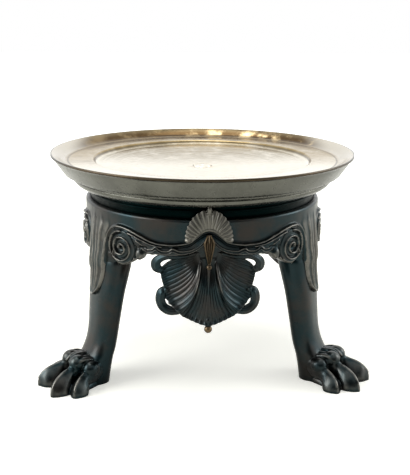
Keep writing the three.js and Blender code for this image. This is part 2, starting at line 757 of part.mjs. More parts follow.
const shellPin = toGeometry(toSolid(spoke(
  pinR, tabFront - tabT - pinHeadT / 2, bandR + dropGap + 1.2, pinH))
  .add(toSolid(spoke(
    pinHeadR, tabFront - tabT - pinHeadT, tabFront - tabT, pinH))));

// Drop: a faceted beak that hangs in front of the shell, ending in a ball.
// Each row is the drop below the collar's top, half width and depth.
const dropRows = [
  [7.9, 1.2, 1.2], [9.2, 2.6, 2.4], [11.0, 3.6, 3.0], [13.6, 2.9, 2.9],
  [17.0, 1.8, 2.4], [20.0, 0.9, 1.8], [dropTip, 0.7, 1.4],
];
const dropBack = bandR + dropGap;
const dropBody = skin(dropRows.map(([drop, half, deep]) => [
  [0, -half], [deep * 0.55, -half * 0.9], [deep * 0.8, -half * 0.35], [deep, 0],
  [deep * 0.8, half * 0.35], [deep * 0.55, half * 0.9], [0, half],
].map(([x, t]) => new THREE.Vector3(dropBack + x, t, collarTop - drop))));
const dropBall = new THREE.SphereGeometry(dropBallR, 8, 6)
  .translate(dropBack + 0.9, 0, collarTop - dropTip - dropBallR * 0.8);
const drop = toGeometry(toSolid(dropBody).add(toSolid(dropBall)).subtract(toSolid(
  spoke(pinR + pinGap, dropBack - 2, dropBack + 1.5, pinH))));

// Materials
const metal = (color, roughness) => new THREE.MeshStandardMaterial({
  color, roughness, metalness: 0.9,
});
const dark = metal('#2b2622', 0.38);
const polished = metal('#8a6a3f', 0.28);
const worn = metal('#7d5536', 0.4);
const steel = metal('#8d8f92', 0.45);

// Assembly
const stand = new THREE.Group();
stand.position.z = -headTop;
function put(parent, name, geometry, material, deg = 0) {
  const mesh = new THREE.Mesh(geometry, material);
  mesh.name = name;
  mesh.rotation.z = rad(deg);
  parent.add(mesh);
}
const top = new THREE.Group();
const base = new THREE.Group();
const ornament = new THREE.Group();
stand.add(top, base, ornament);
put(top, 'dish', dish, polished);
put(top, 'centre_screw', centreScrew, polished);
put(top, 'bridge', bridge, dark);
put(top, 'bridge_washer', washer, steel);
put(top, 'bridge_nut', nut, steel);
put(base, 'collar', collar, dark);
const legNames = ['back', 'front_left', 'front_right'];
const bayNames = ['front', 'right', 'left'];
legAngles.forEach((deg, i) => {
  put(base, `leg_${legNames[i]}`, leg, dark, deg);
  put(base, `tie_screw_${legNames[i]}`, tieScrew, steel, deg);
});
bayAngles.forEach((deg, i) => {
  put(ornament, `fan_${bayNames[i]}`, fan, dark, deg);
  put(ornament, `fan_pin_${bayNames[i]}`, fanPin, steel, deg);
  put(ornament, `shell_${bayNames[i]}`, shell, dark, deg);
  put(ornament, `shell_pin_${bayNames[i]}`, shellPin, steel, deg);
  put(ornament, `drop_${bayNames[i]}`, drop, worn, deg);
  put(ornament, `end_ball_${bayNames[i]}`, endBall, worn, deg);
});

export default stand;
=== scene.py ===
"""Tripod stand in patinated bronze: looks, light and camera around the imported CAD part.

Lengths in the tables are millimetres. Heights are above the floor, as in the
CAD, and are lowered to the frame's origin when a mesh is made.
"""

import math

import bmesh
import bpy
import numpy as np
from mathutils import Matrix, Vector


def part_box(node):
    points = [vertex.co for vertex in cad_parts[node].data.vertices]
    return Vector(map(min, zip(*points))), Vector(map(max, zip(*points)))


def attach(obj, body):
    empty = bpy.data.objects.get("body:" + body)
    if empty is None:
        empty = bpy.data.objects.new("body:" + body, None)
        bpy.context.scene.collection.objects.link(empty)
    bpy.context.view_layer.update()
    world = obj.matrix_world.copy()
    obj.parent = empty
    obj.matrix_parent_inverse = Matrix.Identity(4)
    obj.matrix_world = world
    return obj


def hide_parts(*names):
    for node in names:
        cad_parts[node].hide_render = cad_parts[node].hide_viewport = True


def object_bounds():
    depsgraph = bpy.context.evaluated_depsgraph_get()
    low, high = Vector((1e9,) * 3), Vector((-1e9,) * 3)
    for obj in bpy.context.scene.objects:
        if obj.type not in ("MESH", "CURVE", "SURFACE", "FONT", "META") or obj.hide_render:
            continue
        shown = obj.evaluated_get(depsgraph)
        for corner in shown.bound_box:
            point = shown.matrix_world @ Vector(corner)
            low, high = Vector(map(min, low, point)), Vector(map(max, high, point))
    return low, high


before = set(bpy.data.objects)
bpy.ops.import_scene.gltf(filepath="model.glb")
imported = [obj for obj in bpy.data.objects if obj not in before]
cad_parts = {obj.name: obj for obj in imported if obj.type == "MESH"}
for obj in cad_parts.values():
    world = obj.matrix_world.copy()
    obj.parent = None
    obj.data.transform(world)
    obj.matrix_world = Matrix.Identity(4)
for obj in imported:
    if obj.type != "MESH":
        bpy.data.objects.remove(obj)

bl_info = {
    "name": "Tripod stand in patinated bronze",
    "version": (1, 0, 0),
    "blender": (4, 5, 0),
    "location": "View3D > Sidebar > Stand",
    "description": "Builds the pieces of a low bronze dish stand on three paws",
    "category": "Object",
}

CAD_BOX = [list(corner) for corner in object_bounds()]
DISH_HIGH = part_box("dish")[1]
COLLAR_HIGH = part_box("collar")[1]
FLOOR_Z = CAD_BOX[0][2]
MM = 0.001
COLLAR_R = 62.2
COLLAR_WALL = 3.2
VOLUTE_R = 8.9

# Heights above the floor, in mm
RIM_H = (DISH_HIGH.z - FLOOR_Z) / MM
COLLAR_TOP = (COLLAR_HIGH.z - FLOOR_Z) / MM
SHOULDER_DROP = 29.0
SHOULDER_H = COLLAR_TOP - SHOULDER_DROP
LEGS = {"back": 90, "front_left": 210, "front_right": 330}
BAYS = {"front": 270, "right": 30, "left": 150}


# Sizes and colours that a user would change
def hex_to_linear(text):
    """sRGB hex to linear RGB."""
    parts = [int(text[i : i + 2], 16) / 255 for i in (1, 3, 5)]
    return tuple(c / 12.92 if c <= 0.04045 else ((c + 0.055) / 1.055) ** 2.4 for c in parts)


def length_prop(name, description, value):
    """A size in mm that the panel shows as a length."""
    return bpy.props.FloatProperty(
        name=name, description=description, default=value * MM, unit="LENGTH", subtype="DISTANCE", precision=5
    )


def colour_prop(name, description, text):
    """A colour from its sRGB hex value."""
    return bpy.props.FloatVectorProperty(
        name=name, description=description, default=hex_to_linear(text), subtype="COLOR", min=0, max=1
    )


class StandSizes(bpy.types.PropertyGroup):
    rim_radius: length_prop("Rim radius", "Outer radius of the dish", DISH_HIGH.x / MM)
    collar_radius: length_prop("Collar radius", "Outer face of the ring collar", COLLAR_R)
    collar_wall: length_prop("Collar wall", "Thickness of the collar", COLLAR_WALL)
    volute_radius: length_prop("Volute radius", "Radius of the scrolls beside the legs", VOLUTE_R)
    line_radius: length_prop("Raised line", "Half width of the line along the apron", 0.85)
    ball_radius: length_prop("End ball", "Radius of the ball under each shell", 2.0)
    remesh_step: length_prop("Fine step", "Mesh step of the cast shapes", 0.33)


class StandColours(bpy.types.PropertyGroup):
    patina: colour_prop("Patina", "Blue-black chemical patina", "#12262A")
    patina_brown: colour_prop("Brown patina", "Browner clouds in the patina", "#2D2A27")
    # Dark patina in the hollows, and also the painted shade of the recess under the dish
    patina_deep_and_shade: colour_prop("Patina in hollows", "Cool dark tone in hollows", "#031010")
    patina_rubbed: colour_prop("Rubbed patina", "Tone on rubbed edges", "#6E6C66")
    wall: colour_prop("Turned wall", "Thin patina on the turned wall of the dish", "#67675F")
    fan: colour_prop("Fans", "Patina that handling has thinned", "#66645D")
    # Near white: polished metal with a painted reflection of the white sky
    bronze: colour_prop("Polished bronze", "Bright metal in the middle of the dish", "#F4EEDF")
    # Darker tone at the back of the dish floor: painted reflection, with tarnish streaks
    bronze_dull_and_dim_reflection: colour_prop("Dull bronze", "Duller metal at the back of the dish floor", "#8C7D5C")
    bronze_ledge: colour_prop("Ledge", "Brownish gold of the ledge", "#A8946C")
    bronze_cove: colour_prop("Cove", "Brown tarnish in the cove under the rim", "#54422A")
    # Golden patches in the cove: bare metal and painted highlight
    bronze_golden_and_highlight: colour_prop("Golden bronze", "Bare patches in the cove", "#D8C093")
    copper: colour_prop("Worn bronze", "Copper brown on drops and balls", "#69583F")
    steel: colour_prop("Steel", "Pins, screws, washer and nut", "#8D8F92")
    floor: colour_prop("Floor", "Pale floor", "#F4F4EC")


# Nodes and materials
def node(tree, kind, inputs=None, **settings):
    """Adds a node with its settings. Each input gets a value, or the socket that feeds it."""
    made = tree.nodes.new(kind)
    for key, value in settings.items():
        setattr(made, key, value)
    for key, value in (inputs or {}).items():
        if isinstance(value, bpy.types.NodeSocket):
            tree.links.new(value, made.inputs[key])
        else:
            made.inputs[key].default_value = value
    return made


def new_material(name):
    """An empty material and its node tree."""
    material = bpy.data.materials.new(name)
    material.use_nodes = True
    material.node_tree.nodes.clear()
    return material, material.node_tree


def shaded(colour, share=1.0):
    """A colour with that share of its brightness, as a node's input takes it."""
    return (*(c * share for c in colour[:3]), 1.0)


def patinated_bronze(name, base, second, deep, rubbed, rough=(0.26, 0.4), wear=(0.1, 0.45), coat=0.3):
    """Cast bronze, chemically darkened and waxed: blue-black with browner clouds and a
    soft wax gloss, darkest in the hollows and greyer where handling rubbed the edges."""
    material, tree = new_material(name)
    where = node(tree, "ShaderNodeTexCoord").outputs["Object"]
    relief = node(tree, "ShaderNodeAttribute", attribute_name="relief").outputs["Fac"]
    # Sizes in mm of the brown clouds, the mottling of rubbed places and the cast grain
    clouds, mottle, grain = (
        node(
            tree,
            "ShaderNodeTexNoise",
            {"Vector": where, "Scale": 1 / (size * MM), "Detail": detail, "Roughness": roughness},
        ).outputs["Fac"]
        for size, detail, roughness in ((18, 5.0, 0.6), (3.5, 4.0, 0.65), (0.9, 2.0, 0.6))
    )
    brown, hollow, edge, uneven, gloss = (
        node(
            tree,
            "ShaderNodeMapRange",
            {"Value": value, "From Min": low, "From Max": high, "To Min": to_low, "To Max": to_high},
            interpolation_type=kind,
        ).outputs[0]
        for value, low, high, to_low, to_high, kind in (
            (clouds, 0.38, 0.68, 0.0, 1.0, "SMOOTHSTEP"),
            (relief, -0.03, -0.30, 0.0, 1.0, "SMOOTHSTEP"),
            (relief, *wear, 0.0, 1.0, "SMOOTHSTEP"),
            (mottle, 0.3, 0.6, 0.45, 1.0, "SMOOTHSTEP"),
            (mottle, 0.3, 0.7, *rough, "LINEAR"),
        )
    )
    worn = node(tree, "ShaderNodeMath", {0: edge, 1: uneven}, operation="MULTIPLY").outputs[0]
    colour = shaded(base)
    for amount, over in ((brown, second), (hollow, deep), (worn, rubbed)):
        layers = {0: amount, 6: colour, 7: shaded(over)}
        colour = node(tree, "ShaderNodeMix", layers, data_type="RGBA").outputs[2]
    bump = node(tree, "ShaderNodeBump", {"Height": grain, "Strength": 0.04, "Distance": 0.06 * MM})
    shader = node(
        tree,
        "ShaderNodeBsdfPrincipled",
        {
            "Metallic": 1.0,
            "Base Color": colour,
            "Roughness": gloss,
            "Normal": bump.outputs["Normal"],
            "Coat Weight": coat,
            "Coat Roughness": 0.2,
        },
    )
    node(tree, "ShaderNodeOutputMaterial", {"Surface": shader.outputs[0]})
    return material


def turned_bronze(name, pale, dull, ledge, cove, golden):
    """Bronze turned on a lathe and polished, its colour holding painted reflection: nearly white in the
    middle, darker at the back with tarnish streaks, pale in front of the ledge and brownish gold at its back,
    and tarnished in the cove with bare patches and painted highlights. Painted shade darkens the corners of
    the steps."""
    material, tree = new_material(name)
    where = node(tree, "ShaderNodeTexCoord").outputs["Object"]
    in_mm = node(tree, "ShaderNodeVectorMath", {0: where, "Scale": 1 / MM}, operation="SCALE").outputs[0]
    x, y, _ = node(tree, "ShaderNodeSeparateXYZ", {"Vector": in_mm}).outputs
    flat = node(tree, "ShaderNodeCombineXYZ", {"X": x, "Y": y}).outputs[0]
    radius = node(tree, "ShaderNodeVectorMath", {0: flat}, operation="LENGTH").outputs["Value"]
    across = node(tree, "ShaderNodeMath", {0: x}, operation="ABSOLUTE").outputs[0]
    # Tool marks of the lathe. Real ones are too fine to show, these are about 1 mm apart.
    rings = node(
        tree, "ShaderNodeTexNoise", {"W": radius, "Scale": 1.0, "Detail": 3.0}, noise_dimensions="1D"
    ).outputs["Fac"]
    patch, fine = (
        node(
            tree,
            "ShaderNodeTexNoise",
            {"Vector": where, "Scale": 1 / (size * MM), "Detail": detail, "Roughness": roughness},
        ).outputs["Fac"]
        for size, detail, roughness in ((14, 6.0, 0.62), (3, 4.0, 0.6))
    )
    # Where each change of tone begins and ends, in mm or as a level of a pattern
    ranges = {
        "streaks": (rings, 0.35, 0.6, 0.55, 1.0),
        "blotches": (patch, 0.3, 0.55, 0.5, 1.0),
        # Painted reflection: the floor of the dish darker towards the back
        "rear": (y, -12, 36, 0.0, 1.0),
        # Painted reflection: the ledge pale in front and brownish gold at the back
        "back": (y, -40, 12, 0.0, 1.0),
        "gilt": (patch, 0.3, 0.5, 0.75, 1.0),
        "stain": (patch, 0.48, 0.7, 0.0, 0.5),
        # Golden patches in the cove: bare metal and painted highlight, more of it on the right
        "bare_patch_and_highlight": (patch, 0.46, 0.66, 0.0, 1.0),
        "right": (x, -60, 50, 0.25, 1.0),
        "past floor": (radius, 56.6, 57.6, 0.0, 1.0),
        "past ledge": (radius, 71.2, 73.5, 0.0, 1.0),
        "near rim": (radius, 75.4, 79.0, 0.0, 0.55),
        # Painted reflection: the cove paler at its left and right ends
        "ends": (across, 60, 74, 0.0, 0.8),
        "in cove": (radius, 71.2, 73.0, 0.0, 1.0),
        # Painted shade with tarnish: dark bands at the step down to the sunken floor and at the foot of the
        # cove
        "corner from": (radius, 56.2, 56.9, 0.0, 0.6),
        "corner to": (radius, 57.8, 57.1, 0.0, 1.0),
        "foot from": (radius, 70.2, 70.9, 0.0, 0.6),
        "foot to": (radius, 71.9, 71.2, 0.0, 1.0),
    }
    share = {
        key: node(
            tree,
            "ShaderNodeMapRange",
            {"Value": value, "From Min": low, "From Max": high, "To Min": to_low, "To Max": to_high},
            interpolation_type="SMOOTHSTEP",
        ).outputs[0]
        for key, (value, low, high, to_low, to_high) in ranges.items()
    }
    tones = {
        "pale": shaded(pale),
        "pale ends": shaded(pale, 0.8),
        "dull": shaded(dull),
        "ledge": shaded(ledge),
        "cove": shaded(cove),
        "golden": shaded(golden),
        # Dark tone for the corner bands: painted shade with tarnish
        "corner_tarnish_and_shade": shaded(cove, 0.35),
    }
    # Each tone is a lower one, covered by an upper one as far as the shares say
    for made, under, over, *shares in (
        # Middle and shelf: pale in front and darker at the back, as painted reflection
        ("middle", "pale", "dull", "rear", "streaks", "blotches"),
        ("shelf", "pale", "ledge", "back", "gilt"),
        ("shelf", "shelf", "cove", "back", "stain"),
        ("hollow", "cove", "golden", "bare_patch_and_highlight", "right"),
        ("face", "middle", "shelf", "past floor"),
        ("face", "face", "hollow", "past ledge"),
        ("face", "face", "dull", "near rim"),
        # The cove's paler ends are painted reflection
        ("face", "face", "pale ends", "ends", "in cove"),
        ("face", "face", "corner_tarnish_and_shade", "corner from", "corner to"),
        ("face", "face", "corner_tarnish_and_shade", "foot from", "foot to"),
    ):
        amount = share[shares[0]]
        for key in shares[1:]:
            amount = node(tree, "ShaderNodeMath", {0: amount, 1: share[key]}, operation="MULTIPLY").outputs[0]
        layers = {0: amount, 6: tones[under], 7: tones[over]}
        tones[made] = node(tree, "ShaderNodeMix", layers, data_type="RGBA").outputs[2]
    gloss = node(
        tree,
        "ShaderNodeMapRange",
        {"Value": fine, "From Min": 0.3, "From Max": 0.7, "To Min": 0.14, "To Max": 0.27},
    ).outputs[0]
    bump = node(tree, "ShaderNodeBump", {"Height": rings, "Strength": 0.15, "Distance": 0.05 * MM})
    shader = node(
        tree,
        "ShaderNodeBsdfPrincipled",
        {"Metallic": 1.0, "Base Color": tones["face"], "Roughness": gloss, "Normal": bump.outputs["Normal"]},
    )
    node(tree, "ShaderNodeOutputMaterial", {"Surface": shader.outputs[0]})
    return material


def plain_metal(name, colour, roughness):
    """Turned or drawn metal, rubbed dull: even colour with faint handling marks of 1.5 mm."""
    material, tree = new_material(name)
    where = node(tree, "ShaderNodeTexCoord").outputs["Object"]
    marks = node(tree, "ShaderNodeTexNoise", {"Vector": where, "Scale": 1 / (1.5 * MM), "Detail": 4.0})
    layers = {0: marks.outputs["Fac"], 6: shaded(colour), 7: shaded(colour, 0.55)}
    tint = node(tree, "ShaderNodeMix", layers, data_type="RGBA").outputs[2]
    metal = {"Metallic": 1.0, "Roughness": roughness, "Base Color": tint}
    shader = node(tree, "ShaderNodeBsdfPrincipled", metal)
    node(tree, "ShaderNodeOutputMaterial", {"Surface": shader.outputs[0]})
    return material


def make_materials(colours):
    """All materials of the object, by the name of the finish."""
    deep, rubbed = colours.patina_deep_and_shade, colours.patina_rubbed
    # The turned wall has no rubbed edges, so its wear starts at a relief that nothing reaches
    never = (5.0, 6.0)
    return {
        "patina": patinated_bronze(
            "Bronze, darkened and waxed", colours.patina, colours.patina_brown, deep, rubbed
        ),
        # Turned, then darkened thinly: smooth grey-brown metal with a soft sheen
        "underside": patinated_bronze(
            "Bronze, turned, thin patina",
            colours.wall,
            shaded(colours.wall, 0.72),
            deep,
            rubbed,
            (0.2, 0.3),
            never,
        ),
        # Painted shade for the recess under the dish: nearly black and matt
        "recess": patinated_bronze(
            "Bronze, painted shade in the recess", deep, shaded(deep, 0.7), deep, deep, (0.35, 0.5), coat=0.0
        ),
        # Handled a lot: the patina is thin and grey metal shows through
        "fan": patinated_bronze(
            "Bronze, patina thinned by handling", colours.fan, shaded(colours.fan, 0.7), deep, rubbed
        ),
        # Polished metal whose colour holds painted reflection, painted highlight and painted shade
        "polish": turned_bronze(
            "Bronze, turned and polished",
            colours.bronze,
            colours.bronze_dull_and_dim_reflection,
            colours.bronze_ledge,
            colours.bronze_cove,
            colours.bronze_golden_and_highlight,
        ),
        # Rubbed through: copper brown where it stands out, dark in between
        "worn": patinated_bronze(
            "Bronze, patina rubbed through",
            shaded(colours.copper, 0.4),
            shaded(colours.copper, 0.25),
            deep,
            colours.copper,
            wear=(0.02, 0.22),
        ),
        "steel": plain_metal("Steel, turned", colours.steel, 0.42),
    }


FINISH = {}


def finish(name):
    """A material by its finish. The first call makes them all."""
    if not FINISH:
        FINISH.update(make_materials(bpy.context.scene.stand_colours))
    return FINISH[name]


# Mesh tools
def grid_faces(rows, columns, wrap_rows=False, wrap_columns=False):
    """Quads of a grid of points, numbered row by row."""
    i = np.arange(rows if wrap_rows else rows - 1)
    j = np.arange(columns if wrap_columns else columns - 1)
    a, b = np.meshgrid(i, j, indexing="ij")
    a2, b2 = (a + 1) % rows, (b + 1) % columns
    quads = np.stack([a * columns + b, a * columns + b2, a2 * columns + b2, a2 * columns + b], -1)
    return quads.reshape(-1, 4)


def tube(rings):
    """Closed skin over rings of points: an array of rings, points and 3."""
    rings = np.asarray(rings, float)
    n, m = rings.shape[:2]
    points = np.concatenate([rings.reshape(-1, 3), rings[[0, -1]].mean(1)])
    faces = [tuple(q) for q in grid_faces(n, m, False, True)]
    for ring, mid in ((0, n * m), (n - 1, n * m + 1)):
        faces += [(ring * m + k, ring * m + (k + 1) % m, mid) for k in range(m)]
    return points, faces


def slab(front, back):
    """Closed plate between two grids of points."""
    n, m = front.shape[:2]
    points = np.concatenate([front.reshape(-1, 3), back.reshape(-1, 3)])
    faces = [tuple(q) for q in grid_faces(n, m)]
    faces += [tuple(q[::-1] + n * m) for q in grid_faces(n, m)]
    around = (
        [(i, 0) for i in range(n)]
        + [(n - 1, j) for j in range(1, m)]
        + [(i, m - 1) for i in range(n - 2, -1, -1)]
        + [(0, j) for j in range(m - 2, 0, -1)]
    )
    loop = [i * m + j for i, j in around]
    for k, a in enumerate(loop):
        b = loop[(k + 1) % len(loop)]
        faces.append((a, b, b + n * m, a + n * m))
    return points, faces


def rod(points, radii, sides, flat=1.0):
    """Round bar along points, or one flattened from front to back, with rounded ends."""
    points = np.asarray(points, float)
    n = len(points)
    radii = np.broadcast_to(np.asarray(radii, float), (n,))
    d0 = points[0] - points[1]
    d1 = points[-1] - points[-2]
    d0, d1 = d0 / np.linalg.norm(d0), d1 / np.linalg.norm(d1)
    lead = [(points[0] + d0 * radii[0] * s, radii[0] * c) for s, c in ((0.95, 0.3), (0.7, 0.7))]
    tail = [(points[-1] + d1 * radii[-1] * s, radii[-1] * c) for s, c in ((0.7, 0.7), (0.95, 0.3))]
    line = np.array([p for p, _ in lead] + list(points) + [p for p, _ in tail])
    size = np.array([r for _, r in lead] + list(radii) + [r for _, r in tail])
    axis = np.array([1.0, 0.0, 0.0])
    rings = []
    for k in range(len(line)):
        run = line[min(k + 1, len(line) - 1)] - line[max(k - 1, 0)]
        run = run / np.linalg.norm(run)
        thin = axis - run * axis.dot(run)
        thin = thin / np.linalg.norm(thin)
        wide = np.cross(run, thin)
        w = np.arange(sides) / sides * 2 * np.pi
        rings.append(line[k] + size[k] * (np.outer(np.cos(w), thin) * flat + np.outer(np.sin(w), wide)))
    return tube(rings)


def ball(centre, radius, stretch=(1, 1, 1), rings=12, sides=20):
    """Ball or egg."""
    rows = []
    for k in range(1, rings):
        a = math.pi * k / rings
        w = np.arange(sides) / sides * 2 * np.pi
        rows.append(np.stack([np.sin(a) * np.cos(w), np.sin(a) * np.sin(w), np.full(sides, np.cos(a))], -1))
    points, faces = tube(np.array(rows))
    points[-2], points[-1] = (0, 0, 1), (0, 0, -1)
    return np.asarray(centre) + points * np.asarray(stretch) * radius, faces


def joined(parts):
    """Several closed skins as one list of points and faces."""
    points, faces, base = [], [], 0
    for p, f in parts:
        points.append(np.asarray(p, float))
        faces += [tuple(int(i) + base for i in face) for face in f]
        base += len(p)
    return np.concatenate(points), faces


def make_mesh(name, points, faces):
    """A mesh whose faces all look outwards."""
    mesh = bpy.data.meshes.new(name)
    mesh.from_pydata([tuple(p) for p in points], [], [tuple(int(i) for i in f) for f in faces])
    edit = bmesh.new()
    edit.from_mesh(mesh)
    bmesh.ops.recalc_face_normals(edit, faces=edit.faces)
    edit.to_mesh(mesh)
    edit.free()
    return mesh


def cast_in_one(name, parts, step, rounds, factor):
    """Joins overlapping closed skins into one smooth skin, as a casting is."""
    rough = bpy.data.objects.new(name + "_rough", make_mesh(name + "_rough", *joined(parts)))
    bpy.context.scene.collection.objects.link(rough)
    remesh = rough.modifiers.new("Remesh", "REMESH")
    remesh.mode = "VOXEL"
    remesh.voxel_size = step
    remesh.adaptivity = 0
    soft = rough.modifiers.new("Smooth", "SMOOTH")
    soft.factor = factor
    soft.iterations = rounds
    shape = rough.evaluated_get(bpy.context.evaluated_depsgraph_get())
    mesh = bpy.data.meshes.new_from_object(shape)
    mesh.name = name
    old = rough.data
    bpy.data.objects.remove(rough)
    bpy.data.meshes.remove(old)
    return mesh


def mark_relief(mesh, touch=None, rounds=26):
    """Stores how far each point stands out from its smoothed surroundings, in mm. Touch
    then changes it where a piece is handled more or less. It gets the points in mm, with
    heights above the floor."""
    count = len(mesh.vertices)
    co, normals = np.empty(count * 3), np.empty(count * 3)
    mesh.vertices.foreach_get("co", co)
    mesh.vertex_normals.foreach_get("vector", normals)
    ends = np.empty(len(mesh.edges) * 2, np.int32)
    mesh.edges.foreach_get("vertices", ends)
    co, normals, ends = co.reshape(-1, 3), normals.reshape(-1, 3), ends.reshape(-1, 2)
    a, b = ends[:, 0], ends[:, 1]
    links = np.maximum(np.bincount(a, minlength=count) + np.bincount(b, minlength=count), 1)
    soft = co.copy()
    for _ in range(rounds):
        near = [np.bincount(a, soft[b, k], count) + np.bincount(b, soft[a, k], count) for k in range(3)]
        soft = 0.5 * soft + 0.5 * np.stack(near, -1) / links[:, None]
    field = mesh.attributes.new("relief", "FLOAT", "POINT")
    out = ((co - soft) * normals).sum(1) / MM
    if touch:
        out = touch((co - (0, 0, FLOOR_Z)) / MM, out)
    field.data.foreach_set("value", out)


def to_frame(mesh, relief=True, touch=None):
    """From mm above the floor to the frame: metres from the origin."""
    co = np.empty(len(mesh.vertices) * 3)
    mesh.vertices.foreach_get("co", co)
    co = co.reshape(-1, 3) * MM
    co[:, 2] += FLOOR_Z
    mesh.vertices.foreach_set("co", co.ravel())
    mesh.polygons.foreach_set("use_smooth", [True] * len(mesh.polygons))
    mesh.update()
    if relief:
        mark_relief(mesh, touch)


def place(name, mesh, material, degrees=0.0, replaces=()):
    """One piece of the object, turned about the upright axis."""
    if degrees:
        mesh = mesh.copy()
        mesh.name = name
        mesh.transform(Matrix.Rotation(math.radians(degrees), 4, "Z"))
    piece = bpy.data.objects.new(name, mesh)
    bpy.context.scene.collection.objects.link(piece)
    if not mesh.materials:
        mesh.materials.append(material)
    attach(piece, "root")
    for cad_node in replaces:
        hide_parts(cad_node)
    return piece


def smooth_between(table, x):
    """A smooth curve through the rows of a table that doesn't overshoot."""
    t = np.asarray(table, float)
    x = np.asarray(x, float)
    step = np.diff(t[:, 0])
    slope = np.diff(t[:, 1]) / step
    tangent = np.zeros(len(t))
    tangent[0], tangent[-1] = slope[0], slope[-1]
    for k in range(1, len(t) - 1):
        if slope[k - 1] * slope[k] > 0:
            w1, w2 = 2 * step[k] + step[k - 1], step[k] + 2 * step[k - 1]
            tangent[k] = (w1 + w2) / (w1 / slope[k - 1] + w2 / slope[k])
    k = np.clip(np.searchsorted(t[:, 0], x) - 1, 0, len(step) - 1)
    u = np.clip((x - t[k, 0]) / step[k], 0, 1)
    return (
        t[k, 1] * (1 + 2 * u) * (1 - u) ** 2
        + t[k + 1, 1] * u**2 * (3 - 2 * u)
        + step[k] * u * (1 - u) * (tangent[k] * (1 - u) - tangent[k + 1] * u)
    )


def smooth_line(points, count):
    """Evenly spaced points on a smooth curve through the given ones."""
    p = np.asarray(points, float)
    p = np.concatenate([[2 * p[0] - p[1]], p, [2 * p[-1] - p[-2]]])
    out = []
    for k in range(1, len(p) - 2):
        u = np.linspace(0, 1, 16, endpoint=False)[:, None]
        a, b, c, d = p[k - 1], p[k], p[k + 1], p[k + 2]
        out.append(
            0.5 * (2 * b + (c - a) * u + (2 * a - 5 * b + 4 * c - d) * u**2 + (3 * b - a - 3 * c + d) * u**3)
        )
    out = np.concatenate(out + [[p[-2]]])
    run = np.concatenate([[0], np.cumsum(np.linalg.norm(np.diff(out, axis=0), axis=1))])
    at = np.linspace(0, run[-1], count)
    return np.stack([np.interp(at, run, out[:, i]) for i in range(out.shape[1])], -1)


def line_distance(x, y, line):
    """Distance of each point to a line, and how far along the line that is."""
    best = np.full(x.shape, 1e9)
    along = np.zeros(x.shape)
    line = np.asarray(line, float)
    for k in range(len(line) - 1):
        a, d = line[k], line[k + 1] - line[k]
        u = np.clip(((x - a[0]) * d[0] + (y - a[1]) * d[1]) / max(d.dot(d), 1e-9), 0, 1)
        gap = np.hypot(x - a[0] - u * d[0], y - a[1] - u * d[1])
        along = np.where(gap < best, (k + u) / (len(line) - 1), along)
        best = np.minimum(best, gap)
    return best, along


def ridge(gap, half):
    """Height, from 0 to 1, of a rounded line at that distance from its middle."""
    return np.exp(-((gap / half) ** 2) * 1.2)


def ease(x):
    """Runs from 0 to 1 with a soft start and end."""
    k = np.clip(x, 0, 1)
    return k * k * (3 - 2 * k)


# Dish
# Each row is the radius, the drop below the rim and the rounding of that corner
DISH_OUTSIDE = [
    (2.8, 10.2, 0),
    (2.8, 14.0, 0.2),
    (9.0, 14.0, 0.6),
    (9.0, 11.0, 0.6),
    (54.6, 11.0, 0.8),
    (56.1, 12.5, 0.6),
    (56.1, 23.0, 0.2),
    (59.6, 23.0, 0.2),
    (59.6, 20.1, 0.1),
    (60.2, 20.1, 0.4),
    (60.6, 19.4, 0.5),
    (60.2, 18.7, 0.4),
    (59.6, 18.7, 0.2),
    (59.6, 16.9, 0.3),
    (65.2, 16.2, 0.2),
    (66.6, 15.7, 0.4),
    (68.3, 14.3, 1.4),
    (68.6, 12.8, 0.7),
    (68.2, 12.35, 0.15),
    (69.6, 11.75, 0.15),
    (69.8, 11.2, 0.25),
    (71.0, 10.55, 0.8),
    (72.4, 10.3, 0.1),
    (73.4, 9.8, 0.25),
    (75.2, 7.3, 3.0),
    (77.6, 3.8, 2.0),
    (78.9, 1.6, 0.5),
    (80.0, 1.0, 0.2),
]
DISH_INSIDE = [
    (80.0, 0.0, 0.35),
    (79.0, 0.0, 0.35),
    (76.4, 1.5, 1.2),
    (74.3, 3.2, 1.2),
    (72.2, 3.85, 0.5),
    (71.3, 3.95, 0.1),
    (71.0, 3.9, 0.1),
    (57.9, 3.9, 0.2),
    (57.4, 4.5, 0.3),
    (56.6, 5.6, 0.6),
    (54.5, 6.15, 1.5),
    (42.0, 7.2, 6),
    (14.0, 8.25, 4),
    (5.05, 8.4, 0.1),
    (5.05, 10.2, 0),
]
# The polish ends at this radius, and the worn lip begins
LIP_R = 79.25
# Nothing is polished below this drop, which is just under the sunken floor
FLOOR_DROP = 8.8
# Painted shade covers what lies inside this radius and below this drop
RECESS_R = 61.0
RECESS_DROP = 16.4


def rounded(rows, steps=5):
    """Radius and drop rows with each corner replaced by a small arc."""
    out = []
    p = [np.array(r[:2], float) for r in rows]
    for k, row in enumerate(rows):
        size = row[2]
        if size <= 0 or k in (0, len(rows) - 1):
            out.append(p[k])
            continue
        a, b = p[k - 1] - p[k], p[k + 1] - p[k]
        la, lb = np.linalg.norm(a), np.linalg.norm(b)
        cut = min(size, la * 0.48, lb * 0.48)
        start, end = p[k] + a / la * cut, p[k] + b / lb * cut
        for u in np.linspace(0, 1, steps):
            out.append((1 - u) ** 2 * start + 2 * u * (1 - u) * p[k] + u**2 * end)
    return np.array(out)


def revolve(profile, segments):
    """Turns a closed profile of radius and height about the axis."""
    w = np.arange(segments) / segments * 2 * np.pi
    r, h = profile[:, 0], profile[:, 1]
    points = np.stack(
        [
            np.outer(np.cos(w), r),
            np.outer(np.sin(w), r),
            np.broadcast_to(h, (segments, len(h))),
        ],
        -1,
    ).reshape(-1, 3)
    return points, grid_faces(segments, len(r), True, True)


